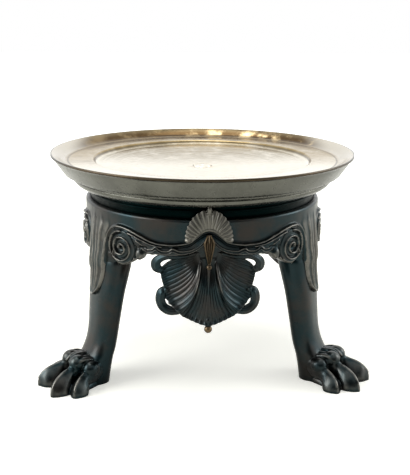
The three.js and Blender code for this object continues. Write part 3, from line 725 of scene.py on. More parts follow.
class STAND_OT_dish(bpy.types.Operator):
    """Turns the dish: polished inside with painted reflection and shade, thin patina outside, painted shade
    under it
    """

    bl_idname = "stand.dish"
    bl_label = "Dish"

    def execute(self, context):
        sizes = context.scene.stand_sizes
        outside, inside = rounded(DISH_OUTSIDE), rounded(DISH_INSIDE)
        profile = np.concatenate([outside, inside])
        profile[:, 1] = RIM_H - profile[:, 1]
        profile[:, 0] *= sizes.rim_radius / MM / DISH_INSIDE[0][0]
        points, faces = revolve(profile, 512)
        mesh = make_mesh("dish_looks", points, faces)
        to_frame(mesh, relief=False)
        for kind in ("underside", "polish", "recess", "worn"):
            mesh.materials.append(finish(kind))
        kinds = []
        for face in mesh.polygons:
            c = face.center
            r, drop = math.hypot(c.x, c.y) / MM, RIM_H - (c.z - FLOOR_Z) / MM
            inside = face.normal.z > 0.05 and drop < FLOOR_DROP and r < LIP_R + 0.05
            # Faces in the recess under the dish get the painted shade
            recess = r < RECESS_R and drop > RECESS_DROP
            lip = r > LIP_R - 0.05 and drop > 0.1 and face.normal.z < 0.6
            kinds.append(1 if inside else 2 if recess else 3 if lip else 0)
        mesh.polygons.foreach_set("material_index", kinds)
        place("dish_looks", mesh, None, replaces=["dish"])
        return {"FINISHED"}


class STAND_OT_centre_screw(bpy.types.Operator):
    """Makes the screw whose head lies in the floor of the dish"""

    bl_idname = "stand.centre_screw"
    bl_label = "Centre screw"

    def execute(self, context):
        low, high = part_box("centre_screw")
        bottom, top = (low.z - FLOOR_Z) / MM, (high.z - FLOOR_Z) / MM
        profile = rounded(
            [
                (0.01, bottom, 0),
                (2.1, bottom, 0.2),
                (2.5, bottom + 0.5, 0.2),
                (2.5, top - 2.0, 0.1),
                (4.75, top - 2.0, 0.15),
                (4.75, top, 0.35),
                (1.2, top, 0.2),
                (0.9, top - 0.25, 0.2),
                (0.01, top - 0.3, 0),
            ]
        )
        points, faces = revolve(profile, 96)
        mesh = make_mesh("centre_screw_looks", points, faces)
        to_frame(mesh, relief=False)
        place("centre_screw_looks", mesh, finish("polish"), replaces=["centre_screw"])
        return {"FINISHED"}


# Collar
# Degrees from the middle of a bay, and the drop below the collar's top
EDGE = [
    (0, 10.6),
    (2.4, 12.2),
    (4.9, 14.5),
    (8, 16.3),
    (11.9, 17.4),
    (15.4, 18.0),
    (18.8, 18.4),
    (21.5, 18.3),
    (23.7, 18.1),
    (25.6, 18.5),
    (27.2, 18.3),
    (29.4, 18.8),
    (30.4, 20.2),
    (31.2, 21.5),
    (32.2, 22.0),
    (33.1, 21.7),
    (33.7, 21.6),
    (34.4, 22.3),
    (35.4, 23.2),
    (36.6, 24.1),
]
LINE = [
    (0, 5.5),
    (1.8, 5.9),
    (3.5, 6.9),
    (5.4, 8.4),
    (8.2, 10.8),
    (12.7, 12.1),
    (16.4, 12.6),
    (21, 12.6),
    (25.1, 12.0),
    (28.7, 10.8),
    (34.2, 8.6),
    (38, 7.4),
    (41.8, 6.8),
    (44.6, 6.9),
]
# The line goes on over the volute and down the side of the leaf
LEAF_LINE = [
    (44.6, 6.9),
    (47.4, 7.9),
    (49.8, 9.8),
    (51.5, 12.4),
    (52.6, 16),
    (52.9, 20),
    (53.2, 25),
    (53.7, 28.9),
]
# Half width of the leaf in mm, by the drop
LEAF_WIDE = [
    (0, 10.4),
    (8.5, 10.4),
    (11.5, 9.4),
    (15, 8.3),
    (21, 7.9),
    (28, 7.3),
    (33, 6.9),
    (38, 5.9),
    (41, 4.9),
    (43.4, 3.5),
    (45, 2.0),
    (45.9, 0.7),
]
# The scalloped line, and the plain one above it
SCALLOP = [
    (1.0, 8.6),
    (4.5, 12.6),
    (8.5, 14.8),
    (12.5, 15.4),
    (15.9, 14.4),
    (17.6, 15.6),
    (20.0, 15.9),
    (22.0, 15.4),
    (23.6, 14.2),
    (25.4, 15.6),
    (27.2, 15.8),
    (29.0, 15.2),
    (30.3, 14.4),
    (31.6, 13.3),
    (33.4, 12.4),
]
BAND_LOW = [(21, 13.9), (25, 13.5), (29, 12.4), (33, 10.9), (37, 9.6), (42.2, 9.0)]
# Middle of the volute, and the place beside it where the wall goes down to the leg
VOLUTE_DEG = 42.2
VOLUTE_DROP = 17.2
SHOULDER_FROM = 47.2
SPIRAL_TURNS = 2.3
# Rounding of the collar's top edge
TOP_EDGE = 1.5
# Rise of the leaf's body from the collar's wall, by the drop
LEAF_RISE = [(0, 0), (5, 0.2), (8.5, 0.7), (13, 1.3), (22, 2.1), (29, 2.7), (60, 2.7)]
# Drops where the leaf's own plate begins and where its tip ends
LEAF_FROM = 12
LEAF_TO = 46.5
# How much more the leaves are rubbed than the plain wall; the paler tone also paints highlight on them
LEAF_WEAR_AND_HIGHLIGHT = 0.26


def arc(deg):
    """Millimetres along the collar's face from degrees."""
    return np.asarray(deg, float) * math.pi / 180 * COLLAR_R


def table_line(table, count):
    """A table of degrees and drops as a smooth line in mm."""
    x = np.linspace(table[0][0], table[-1][0], count)
    return np.stack([arc(x), smooth_between(table, x)], -1)


def spiral_line(radius, turns, start, count, inner=0.7):
    """Spiral from the top of a volute inwards, in mm from its middle."""
    k = np.linspace(0, 1, count)
    r = (radius - start) * (1 - k) ** 0.92 + inner * k
    w = math.pi / 2 - k * turns * 2 * math.pi
    return np.stack([r * np.cos(w), -r * np.sin(w)], -1)


def collar_edge(deg, volute):
    """Drop of the collar's lower edge: the apron, then the round of the volute."""
    d = np.abs(deg)
    across = arc(d - VOLUTE_DEG)
    circle = VOLUTE_DROP + np.sqrt(np.clip(volute**2 - across**2, 0, None))
    low = np.where(d > EDGE[-1][0], circle, smooth_between(EDGE, d))
    # The wall beside a leg goes down to the leg's shoulder
    return np.where(d > SHOULDER_FROM, SHOULDER_DROP - 0.1, low)


def leaf_rise(drop):
    """How far the body of the leaf stands out from the collar's wall."""
    return smooth_between(LEAF_RISE, drop)


def leaf_lines(t, drop):
    """Border and flutes of the leaf, on top of its body."""
    half = smooth_between(LEAF_WIDE, drop)
    t = np.abs(t)
    border = 0.75 * ridge(half - 0.75 - t, 0.65) * ease((drop - 14) / 8)
    rib = 0.7 * ridge(t - 0.38 * half, 0.32 + 0.08 * half) * ease((drop - 2) / 9) * ease((44.5 - drop) / 4)
    middle = 0.35 * ridge(t, 0.7) * ease((drop - 8) / 9) * ease((44 - drop) / 8)
    return np.maximum(np.maximum(border, rib), middle)


def collar_relief(deg, drop, volute, line_half):
    """Height of the ornament on the collar's face, in mm."""
    d = np.abs(deg)
    s = arc(d)
    line_at = smooth_between(LINE, np.minimum(d, LINE[-1][0]))
    bay = ease((38 - d) / 3)
    relief = 0.75 * ease((drop - line_at) / 0.7) * bay
    # Body of the leaf, with a soft edge at its top
    t = COLLAR_R * np.sin(np.radians(60 - d))
    half = smooth_between(LEAF_WIDE, drop)
    soft = 3.2 - 2.4 * ease((drop - 8) / 9)
    body = leaf_rise(drop) * (1 - 0.3 * np.clip(t / half, 0, 1) ** 2)
    body = body * ease((half - t) / soft + 0.35) * (d > 44)
    line = np.concatenate([table_line(LINE, 60), [(arc(a), b) for a, b in smooth_line(LEAF_LINE, 40)[1:]]])
    gap, _ = line_distance(s, drop, line)
    leg_side = ease((d - 44) / 3)
    height = (1.75 * (1 - leg_side) + leg_side * (body + 0.8)) * ease((SHOULDER_DROP + 0.5 - drop) / 1.5)
    relief = np.maximum(relief, height * ridge(gap, line_half - 0.2 * leg_side))
    # Dark channel under the line, then the scalloped line and a finer one below
    channel, _ = line_distance(s, drop - 1.5, table_line(LINE, 60))
    relief = relief - 0.75 * ridge(channel, 0.7) * ease((44 - d) / 4)
    gap, _ = line_distance(s, drop, table_line(BAND_LOW, 24))
    relief = np.maximum(relief, 1.5 * ridge(gap, 0.55))
    gap, _ = line_distance(s, drop, table_line(SCALLOP, 80))
    relief = np.maximum(relief, 1.55 * ridge(gap, 0.62))
    gap, _ = line_distance(s, drop - 1.45, table_line(SCALLOP[:-2], 80))
    relief = np.maximum(relief, 1.35 * ridge(gap, 0.45))
    # Smooth web between the band and the volute
    x, y = s - arc(VOLUTE_DEG), drop - VOLUTE_DROP
    far = np.hypot(x, y)
    web = 0.9 * ease((drop - line_at - 2.4) / 0.8) * ease((d - 30.5) / 1.5) * ease((VOLUTE_DEG + 5 - d) / 2)
    relief = np.maximum(relief, web * (far > volute - 0.3))
    # Egg-shaped curl between the scallops and the volute, with a cut above it
    egg = 1 - ((s - arc(31.7)) / 2.5) ** 2 - ((drop - 18.9) / 3.0) ** 2
    relief = np.maximum(relief, 2.2 * np.sqrt(np.clip(egg, 0, None)))
    gap, _ = line_distance(s, drop, [(arc(28.2), 15.4), (arc(31.2), 14.6)])
    relief = relief - 1.2 * ridge(gap, 0.45)
    gap, _ = line_distance(s, drop, [(arc(33.6), 15.4), (arc(33.9), 18), (arc(34.1), 21)])
    relief = relief - 1.3 * ridge(gap, 0.45)
    # Volute: a flat strand between two raised lines that winds inwards
    relief = np.where(far < volute, 0.9 * ease((volute - far) / 0.7), relief)
    to_strand, along = line_distance(x, y, spiral_line(volute, SPIRAL_TURNS, 0.7, 160))
    strand = (2.0 + 0.3 * along) * ridge(to_strand, 0.6)
    relief = np.where(far < volute + 1.1, np.maximum(relief, strand), relief)
    gap, _ = line_distance(x, y, spiral_line(volute, SPIRAL_TURNS - 0.5, 1.75, 140, 1.8))
    relief = np.where(far < volute - 0.5, relief - 0.8 * ridge(gap, 0.42), relief)
    # Hollow eye in the middle, between the turns of the strand
    relief = relief - 1.3 * np.exp(-((far / 2.4) ** 2)) * (1 - ridge(to_strand, 0.7))
    # Leaf, and the dark gap between its border and the volute
    relief = np.maximum(relief, (body + leaf_lines(t, drop) * ease((half - t) / 0.5)) * (d > 49))
    gap, _ = line_distance(s, drop, [(arc(51.1), 14.5), (arc(51.3), 17.5), (arc(51.0), 21.5)])
    return relief - 1.1 * ridge(gap, 0.45)


def blend_to_leg(deg, drop, face, volute):
    """Lets the wall beside the leaf run into the leg below it."""
    d = np.abs(deg)
    t = COLLAR_R * np.sin(np.radians(60 - d))
    # At the shoulder the leg reaches 13 mm to each side, and its corners are rounded
    leg = np.hypot(shaft_face(SHOULDER_H, np.minimum(t, 13.0)), t) - np.clip(t - 12.6, 0, 2) * 1.2
    leg = np.maximum(leg - 0.4 * ease((drop - 23) / 2), COLLAR_R - COLLAR_WALL)
    half = smooth_between(LEAF_WIDE, drop)
    far = np.hypot(arc(d - VOLUTE_DEG), drop - VOLUTE_DROP)
    beside = ease((far - volute + 0.2) / 0.8) * ease((d - 45.5) / 1.5) * ease((t - half + 0.4) / 1.2)
    return face + (leg - face) * ease((drop - 19) / 7) * beside


class STAND_OT_collar(bpy.types.Operator):
    """Makes the ring collar with its apron, lines, volutes and leaves"""

    bl_idname = "stand.collar"
    bl_label = "Collar"

    def execute(self, context):
        sizes = context.scene.stand_sizes
        outer = sizes.collar_radius / MM
        inner = outer - sizes.collar_wall / MM
        volute, line_half = sizes.volute_radius / MM, sizes.line_radius / MM
        per_bay, rows = 400, 92
        deg = (np.arange(per_bay) + 0.5) / per_bay * 120 - 60
        low = collar_edge(deg, volute)[:, None]
        drop = TOP_EDGE + (low - TOP_EDGE) * np.linspace(0, 1, rows)
        angle = np.broadcast_to(deg[:, None], drop.shape)
        relief = collar_relief(angle, drop, volute, line_half)
        # The relief is lower along the lower edge of the apron
        near_edge = ease((drop - low + 0.5) / 0.5) * (np.abs(angle) < SHOULDER_FROM)
        face = blend_to_leg(angle, drop, outer + relief * (1 - 0.65 * near_edge), volute)
        # Section of the wall: flat top, rounded top edge, face, lower edge and the way back
        column = np.ones((per_bay, 1))
        round_top = np.radians(np.linspace(0, 90, 7)[:-1])
        radius = [inner * column, (outer - TOP_EDGE + TOP_EDGE * np.sin(round_top)) * column, face]
        drops = [0 * column, TOP_EDGE * (1 - np.cos(round_top)) * column, drop]
        radius += [np.minimum(face[:, -1:] - 0.1, outer - 0.6), inner * column]
        drops += [np.minimum(low + 0.12, SHOULDER_DROP - 0.01), low]
        radius, drops = np.concatenate(radius, 1), np.concatenate(drops, 1)
        points = []
        for middle in sorted(BAYS.values()):
            w = np.radians(deg + middle)[:, None]
            points.append(np.stack([radius * np.cos(w), radius * np.sin(w), COLLAR_TOP - drops], -1))
        points = np.concatenate(points)
        faces = grid_faces(points.shape[0], points.shape[1], True, True)
        mesh = make_mesh("collar_looks", points.reshape(-1, 3), faces)
        to_frame(mesh, touch=self.touch)
        place("collar_looks", mesh, finish("patina"), replaces=["collar"])
        leaf = self.leaf_mesh(outer)
        for name, degrees in LEGS.items():
            place(f"collar_leaf_{name}", leaf, finish("patina"), degrees)
        return {"FINISHED"}

    @staticmethod
    def touch(co, out):
        """No wear on the top edge or the lowest edge, and paler leaves: rubbed, and with painted highlight.
        """
        drop = COLLAR_TOP - co[:, 2]
        # Degrees from the middle of the nearest leg
        off = (np.degrees(np.arctan2(co[:, 1], co[:, 0])) - 30) % 120 - 60
        t = COLLAR_R * np.abs(np.sin(np.radians(off)))
        leaf = ease((smooth_between(LEAF_WIDE, drop) - t + 0.3) / 1.2) * ease((drop - 3) / 5)
        leaf = leaf * (np.abs(off) < 13)
        unworn = (drop < 2.6) | ((drop > SHOULDER_DROP - 2.6) & (leaf < 0.4))
        return np.where(unworn, np.minimum(out, -0.03), out) + LEAF_WEAR_AND_HIGHLIGHT * leaf

    @staticmethod
    def leaf_mesh(outer):
        """The leaf's own plate, from the collar's wall down the front of a leg to its tip."""
        v = np.linspace(0, 1, 110)
        u = np.linspace(-1, 1, 61)
        drop = (LEAF_FROM + (LEAF_TO - LEAF_FROM) * v) * np.ones((len(u), 1))
        half = smooth_between(LEAF_WIDE, drop)
        t = u[:, None] * half
        side = np.abs(u)[:, None] ** 2
        wall = np.sqrt(outer**2 - t**2) + leaf_rise(drop) * (1 - 0.3 * side)
        wall = wall + 0.8 * ease((drop - 13) / 13) - 0.6
        shaft = shaft_face(COLLAR_TOP - drop, t)
        over_leg = ease((drop - 28) / 5)
        tip = ease((drop - 41) / 4)
        body = wall + (shaft + 1.35 - (0.7 - 0.5 * tip) * side + 0.2 * tip - wall) * over_leg
        edge = ease((half - np.abs(t)) / 0.5 + 0.15) * (0.25 + 0.75 * ease((LEAF_TO - drop) / 0.9))
        lines = leaf_lines(t, drop) * ease((half - np.abs(t)) / 0.5)
        back = np.minimum(shaft, wall - 0.6) + 0.1
        front = back + (body + lines - back) * np.maximum(edge, 0.15)
        grid = np.stack([front, t, COLLAR_TOP - drop], -1)
        rear = np.stack([back - 0.3, t, COLLAR_TOP - drop], -1)
        mesh = make_mesh("collar_leaf_looks", *slab(grid, rear))
        # The leaf's plate gets the same rub and painted highlight
        to_frame(mesh, touch=lambda co, out: out + LEAF_WEAR_AND_HIGHLIGHT)
        return mesh


# Legs
# Height above the floor, inner and outer distance from the axis, half width
SHAFT = [
    (92.0, 48.2, 57.4, 9.0),
    (87.0, 48.2, 59.1, 9.5),
    (70.0, 47.4, 61.6, 11.6),
    (64.0, 47.3, 63.2, 13.1),
    (58.0, 48.8, 63.8, 12.9),
    (48.0, 51.4, 65.4, 12.2),
    (38.0, 53.2, 66.3, 11.2),
    (28.0, 54.8, 67.4, 10.2),
    (22.0, 55.8, 68.8, 9.9),
    (18.0, 56.8, 70.4, 10.0),
    (14.5, 58.0, 72.2, 10.2),
    (11.0, 58.8, 73.7, 10.2),
    (6.0, 59.6, 74.2, 9.6),
    (-1.0, 60.4, 74.2, 8.6),
]
# The section is a rounded box: 2 would be an ellipse
SHAFT_POWER = 2.6
# From this height up the leg is behind the collar's wall and narrows to its tenon
TENON_FROM = SHOULDER_H + 5.8
TENON_R = COLLAR_R - 3.6


def shaft_values(height):
    """Inner and outer distance and half width of a leg at that height."""
    rows = np.array(SHAFT[::-1])
    height = np.clip(height, SHAFT[-1][0], SHAFT[0][0])
    return [smooth_between(rows[:, [0, k]], height) for k in (1, 2, 3)]


def shaft_face(height, t):
    """Distance of the leg's outer face from the axis."""
    r0, r1, half = shaft_values(height)
    s = np.minimum(np.abs(t) / half, 0.985)
    return (r0 + r1) / 2 + (r1 - r0) / 2 * (1 - s**SHAFT_POWER) ** (1 / SHAFT_POWER)


# Each row is distance from the axis, sideways place, height of the top, half
# width, underside, and how far the section is a claw's
MID_TOE = [
    (64.0, 2.8, 15.2, 3.0, 6, 0),
    (70.0, 3.4, 15.8, 3.2, 4, 0),
    (75.0, 4.0, 16.2, 3.4, 3, 0),
    (78.6, 4.3, 16.0, 3.4, 3, 0),
    (81.0, 4.6, 14.6, 3.1, 3, 0.05),
    (82.8, 4.9, 12.5, 2.9, 2, 0.25),
    (84.4, 5.2, 11.3, 3.9, 1, 0.6),
    (86.2, 5.6, 10.9, 5.0, -0.6, 0.92),
    (88.5, 6.3, 10.2, 5.3, -1, 1),
    (91.0, 7.1, 8.8, 4.6, -1, 1),
    (93.0, 7.9, 6.9, 3.2, -1, 1),
    (94.4, 8.4, 4.8, 1.8, -1, 1),
    (95.2, 8.75, 2.2, 0.6, -1, 1),
]
SIDE_TOE = [
    (63.6, 5.6, 13.2, 1.8, 8.0, 0),
    (66.0, 6.6, 13.6, 2.6, 6, 0),
    (69.0, 7.7, 13.8, 3.1, 4, 0),
    (72.0, 8.6, 13.9, 3.4, 3, 0),
    (74.4, 9.3, 13.2, 3.3, 3, 0),
    (76.2, 10.0, 11.6, 2.9, 2.5, 0.1),
    (77.8, 10.7, 10.1, 3.2, 1, 0.45),
    (79.4, 11.5, 9.4, 4.3, -0.4, 0.85),
    (81.2, 12.5, 8.7, 4.8, -1, 1),
    (83.0, 13.7, 7.6, 4.4, -1, 1),
    (84.5, 14.8, 6.2, 3.3, -1, 1),
    (85.6, 15.7, 4.5, 1.9, -1, 1),
    (86.3, 16.3, 2.0, 0.6, -1, 1),
]
# Share of the half width, by the share of the height from the underside up
KNUCKLE = [(0, 0.35), (0.12, 0.62), (0.3, 0.9), (0.5, 1), (0.7, 0.95), (0.85, 0.8), (0.95, 0.52), (1, 0.15)]
CLAW = [(0, 0.86), (0.12, 0.97), (0.25, 1), (0.45, 0.92), (0.62, 0.76), (0.8, 0.52), (0.93, 0.27), (1, 0.06)]
# Strands that run over the knuckles, on one side
STRANDS = [
    [(69, 6.2, 13.6), (73, 6.6, 14.8), (77.4, 7.0, 15.0), (80.4, 7.1, 13.4)],
    [(70, 0.6, 15.4), (75, 0.7, 16.0), (79, 1.0, 15.6), (81.6, 1.6, 13.6)],
]
# Middle, radius and stretch of the round knuckles
KNUCKLES = [((78.2, 4.2, 12.9), 4.4, (1.05, 0.92, 1.0)), ((73.3, 9.3, 10.4), 4.3, (1.05, 0.92, 1.0))]
# Distance from the axis, half width and height of the pad below the toes
PAD = [
    (64.5, 6.2, 8),
    (69, 8.6, 8),
    (72.5, 10.0, 7),
    (77.2, 11.8, 5.5),
    (82.2, 10.5, 4.2),
    (87.2, 7.5, 2.6),
]
# The paws are cut flat just above the floor
SOLE_H = 0.02


def toe(rows, side):
    """A knuckle and a claw: the claw flares to the floor and has a sharp crest."""
    line = smooth_line(np.array(rows) * [1, side, 1, 1, 1, 1], 64)
    share = (1 - np.cos(np.linspace(0, np.pi, 17))) / 2
    rings = []
    for k in range(len(line)):
        r, t, top, half, base, claw = line[k]
        claw = min(max(claw, 0), 1)
        run = line[min(k + 1, len(line) - 1), :2] - line[max(k - 1, 0), :2]
        run = run / np.linalg.norm(run)
        wide = half * (smooth_between(KNUCKLE, share) * (1 - claw) + smooth_between(CLAW, share) * claw)
        high = base + (top - base) * share
        ring = [np.stack([r - run[1] * wide * w, t + run[0] * wide * w, high], -1) for w in (1, -1)]
        rings.append(np.concatenate([ring[0], ring[1][::-1]]))
    return tube(rings)


def paw_parts():
    """Four toes with their knuckles, crests and strands, and the pad."""
    parts = []
    for side in (1, -1):
        parts += [toe(MID_TOE, side), toe(SIDE_TOE, side)]
        parts += [ball((at[0], at[1] * side, at[2]), r, stretch) for at, r, stretch in KNUCKLES]
        # Soft crest along the claw, then the strands between the knuckles
        for rows in (MID_TOE, SIDE_TOE):
            top = np.array(rows)[6:-1, :3] * [1, side, 1] - [0, 0, 0.7]
            parts.append(rod(smooth_line(top, 24), np.linspace(1.1, 0.7, 24), 10))
        for strand in STRANDS:
            points = smooth_line(np.array(strand) * [1, side, 1], 18)
            parts.append(rod(points, 0.5 + 0.8 * np.sin(np.linspace(0.2, 2.8, 18)), 12))
    w = np.arange(40) / 40 * 2 * np.pi
    pad = [np.stack([np.full(40, r), wide * np.cos(w), high * np.sin(w)], -1) for r, wide, high in PAD]
    return parts + [tube(pad)]


def leg_mesh(step):
    """A leg with its paw in one, with a flat sole and a tenon at the top."""
    heights = np.linspace(91.5, -2.0, 150)
    r0, r1, half = shaft_values(heights)
    w = np.arange(72) / 72 * 2 * np.pi
    bow = 2 / SHAFT_POWER
    c = np.sign(np.cos(w)) * np.abs(np.cos(w)) ** bow
    s = np.sign(np.sin(w)) * np.abs(np.sin(w)) ** bow
    rings = np.stack(
        [
            ((r0 + r1) / 2)[:, None] + ((r1 - r0) / 2)[:, None] * c,
            half[:, None] * s,
            heights[:, None] * np.ones(72),
        ],
        -1,
    )
    mesh = cast_in_one("leg_looks", [tube(rings)] + paw_parts(), step, 3, 0.5)
    edit = bmesh.new()
    edit.from_mesh(mesh)
    cut = bmesh.ops.bisect_plane(
        edit,
        geom=edit.verts[:] + edit.edges[:] + edit.faces[:],
        plane_co=(0, 0, SOLE_H),
        plane_no=(0, 0, -1),
        clear_outer=True,
    )
    rim = [e for e in cut["geom_cut"] if isinstance(e, bmesh.types.BMEdge)]
    bmesh.ops.contextual_create(edit, geom=rim)
    bmesh.ops.recalc_face_normals(edit, faces=edit.faces)
    edit.to_mesh(mesh)
    edit.free()
    # Behind the collar's wall only the tenon goes on
    co = np.empty(len(mesh.vertices) * 3)
    mesh.vertices.foreach_get("co", co)
    co = co.reshape(-1, 3)
    far = np.hypot(co[:, 0], co[:, 1])
    outside = (co[:, 2] > TENON_FROM) & (far > TENON_R)
    co[outside, :2] *= (TENON_R / far[outside])[:, None]
    mesh.vertices.foreach_set("co", co.ravel())
    return mesh


class STAND_OT_legs(bpy.types.Operator):
    """Makes the legs with their paws"""

    bl_idname = "stand.legs"
    bl_label = "Legs"

    def execute(self, context):
        mesh = leg_mesh(context.scene.stand_sizes.remesh_step / MM)
        to_frame(mesh, touch=self.touch)
        for name, degrees in LEGS.items():
            place(f"leg_{name}_looks", mesh, finish("patina"), degrees, [f"leg_{name}"])
        return {"FINISHED"}

    @staticmethod
    def touch(co, out):
        """The claws and the tops of the knuckles are rubbed, and the same paler tone also stands in as
        painted highlight on them.
        """
        high = co[:, 2]
        far = np.hypot(co[:, 0], co[:, 1])
        claw = ease((12.5 - high) / 3) * ease((far - 77) / 5) * ease(high / 2)
        knuckle = ease((high - 12.5) / 3) * ease((19 - high) / 2) * ease((far - 72) / 3)
        return out + 0.16 * claw + 0.1 * knuckle


# Shell pendants
# Distance of the shell's plane and of the tab's front from the axis
SHELL_N = COLLAR_R - 1.2
TAB_N = COLLAR_R - 4.3
# How far the shell follows the collar's curve, and how much that lowers its sides
SHELL_BEND = 0.9
SHELL_LOWER = 0.27
SHELL_THICK = 1.7
# The ribs need a finer mesh step than the legs
SHELL_STEP_SHARE = 0.62
TAB_HALF = 8.0
TAB_DROPS = (7.0, 21.5)
# Sideways place and drop of the outer end, bend and start of the lines along a lobe
SIDE_COUNT = 13
SIDE_RIBS = [
    ((16.4, 19.2), (11.0, 17.4), (4.6, 17.2)),
    ((20.6, 21.9), (12.4, 18.8), (4.6, 17.8)),
    ((22.9, 24.8), (12.0, 21.0), (4.6, 18.3)),
    ((22.9, 27.9), (10.8, 24.0), (4.5, 18.7)),
    ((22.2, 31.2), (9.6, 27.2), (4.4, 19.0)),
    ((21.4, 34.4), (8.4, 30.4), (4.3, 19.3)),
    ((21.5, 37.6), (7.2, 33.6), (4.2, 19.6)),
    ((19.6, 40.6), (6.0, 36.6), (4.1, 19.8)),
    ((17.2, 43.2), (5.0, 39.0), (3.9, 20.0)),
    ((14.4, 45.2), (4.4, 40.6), (3.7, 20.0)),
]
MIDDLE_COUNT = 7
MIDDLE_RIBS = [
    ((14.4, 45.2), (4.4, 40.6), (3.7, 20.0)),
    ((12.6, 48.2), (3.9, 40.8), (3.1, 20.0)),
    ((10.0, 49.9), (3.1, 41.0), (2.5, 20.0)),
    ((6.9, 51.4), (2.1, 41.0), (1.8, 20.0)),
    ((3.4, 52.8), (1.1, 41.0), (0.9, 20.0)),
    ((0.0, 53.6), (0.0, 41.0), (0.0, 20.0)),
]
# Sideways place, drop, distance in front of the shell's plane and radius
STRAP_TOP = [
    (7.0, 17.2, -1.2, 0.9),
    (11.0, 18.0, -0.2, 1.0),
    (15.6, 17.8, 0.4, 1.8),
    (19.6, 17.7, 0.7, 1.8),
    (23.0, 18.7, 0.6, 2.0),
    (25.2, 20.9, 0.2, 2.4),
    (25.0, 23.4, -0.1, 2.45),
    (23.4, 25.0, -0.5, 1.9),
]
STRAP_LOW = [
    (20.8, 34.4, -0.7, 1.5),
    (22.5, 36.0, -0.1, 2.3),
    (23.2, 38.5, 0.2, 2.45),
    (23.0, 41.2, 0.3, 2.4),
    (21.7, 43.7, 0.2, 2.4),
    (19.2, 45.4, 0.0, 2.4),
    (16.2, 45.9, -0.2, 2.1),
    (12.8, 45.4, -0.3, 1.5),
    (9.8, 42.8, 0.1, 1.2),
    (7.6, 38.8, 0.6, 1.1),
]
# Drop and sideways place of the ridge between the lobes
SHELL_RIDGE = [(16, 3.5), (22, 4.6), (30, 5.0), (38, 5.6), (44, 7.5)]


def smooth_rows(rows, count):
    """More rows between the given ones, on smooth curves through them."""
    rows = np.array(rows, float).reshape(len(rows), -1)
    at = np.linspace(0, len(rows) - 1, count)
    whole = np.concatenate([[2 * rows[0] - rows[1]], rows, [2 * rows[-1] - rows[-2]]])
    k = np.minimum(at.astype(int), len(rows) - 2)
    u = (at - k)[:, None]
    a, b, c, d = whole[k], whole[k + 1], whole[k + 2], whole[k + 3]
    out = 0.5 * (2 * b + (c - a) * u + (2 * a - 5 * b + 4 * c - d) * u**2 + (3 * b - a - 3 * c + d) * u**3)
    return out.reshape(count, 3, 2)


def lobe(rows, side, across):
    """Grid of a lobe of the shell, from its root behind the apron to its edge: sideways
    places, drops, shares across and along it, and distances of its plane."""
    table = smooth_rows(rows, across)
    v = np.linspace(0, 1, 72)[None, :, None]
    end, bend, start = (table[:, k][:, None, :] for k in range(3))
    flat = start * (1 - v) ** 2 + bend * 2 * v * (1 - v) + end * v**2
    t, drop = flat[..., 0] * side, flat[..., 1]
    u = np.linspace(0, 1, across)[:, None] * np.ones((1, 72))
    v = v[..., 0] * np.ones_like(u)
    forward = TAB_N + (SHELL_N - TAB_N) * ease((v - 0.02) / 0.4)
    return t, drop, u, v, forward


def lobe_plate(t, drop, front, back):
    """Closed plate of a lobe."""
    return slab(np.stack([front, t, COLLAR_TOP - drop], -1), np.stack([back, t, COLLAR_TOP - drop], -1))


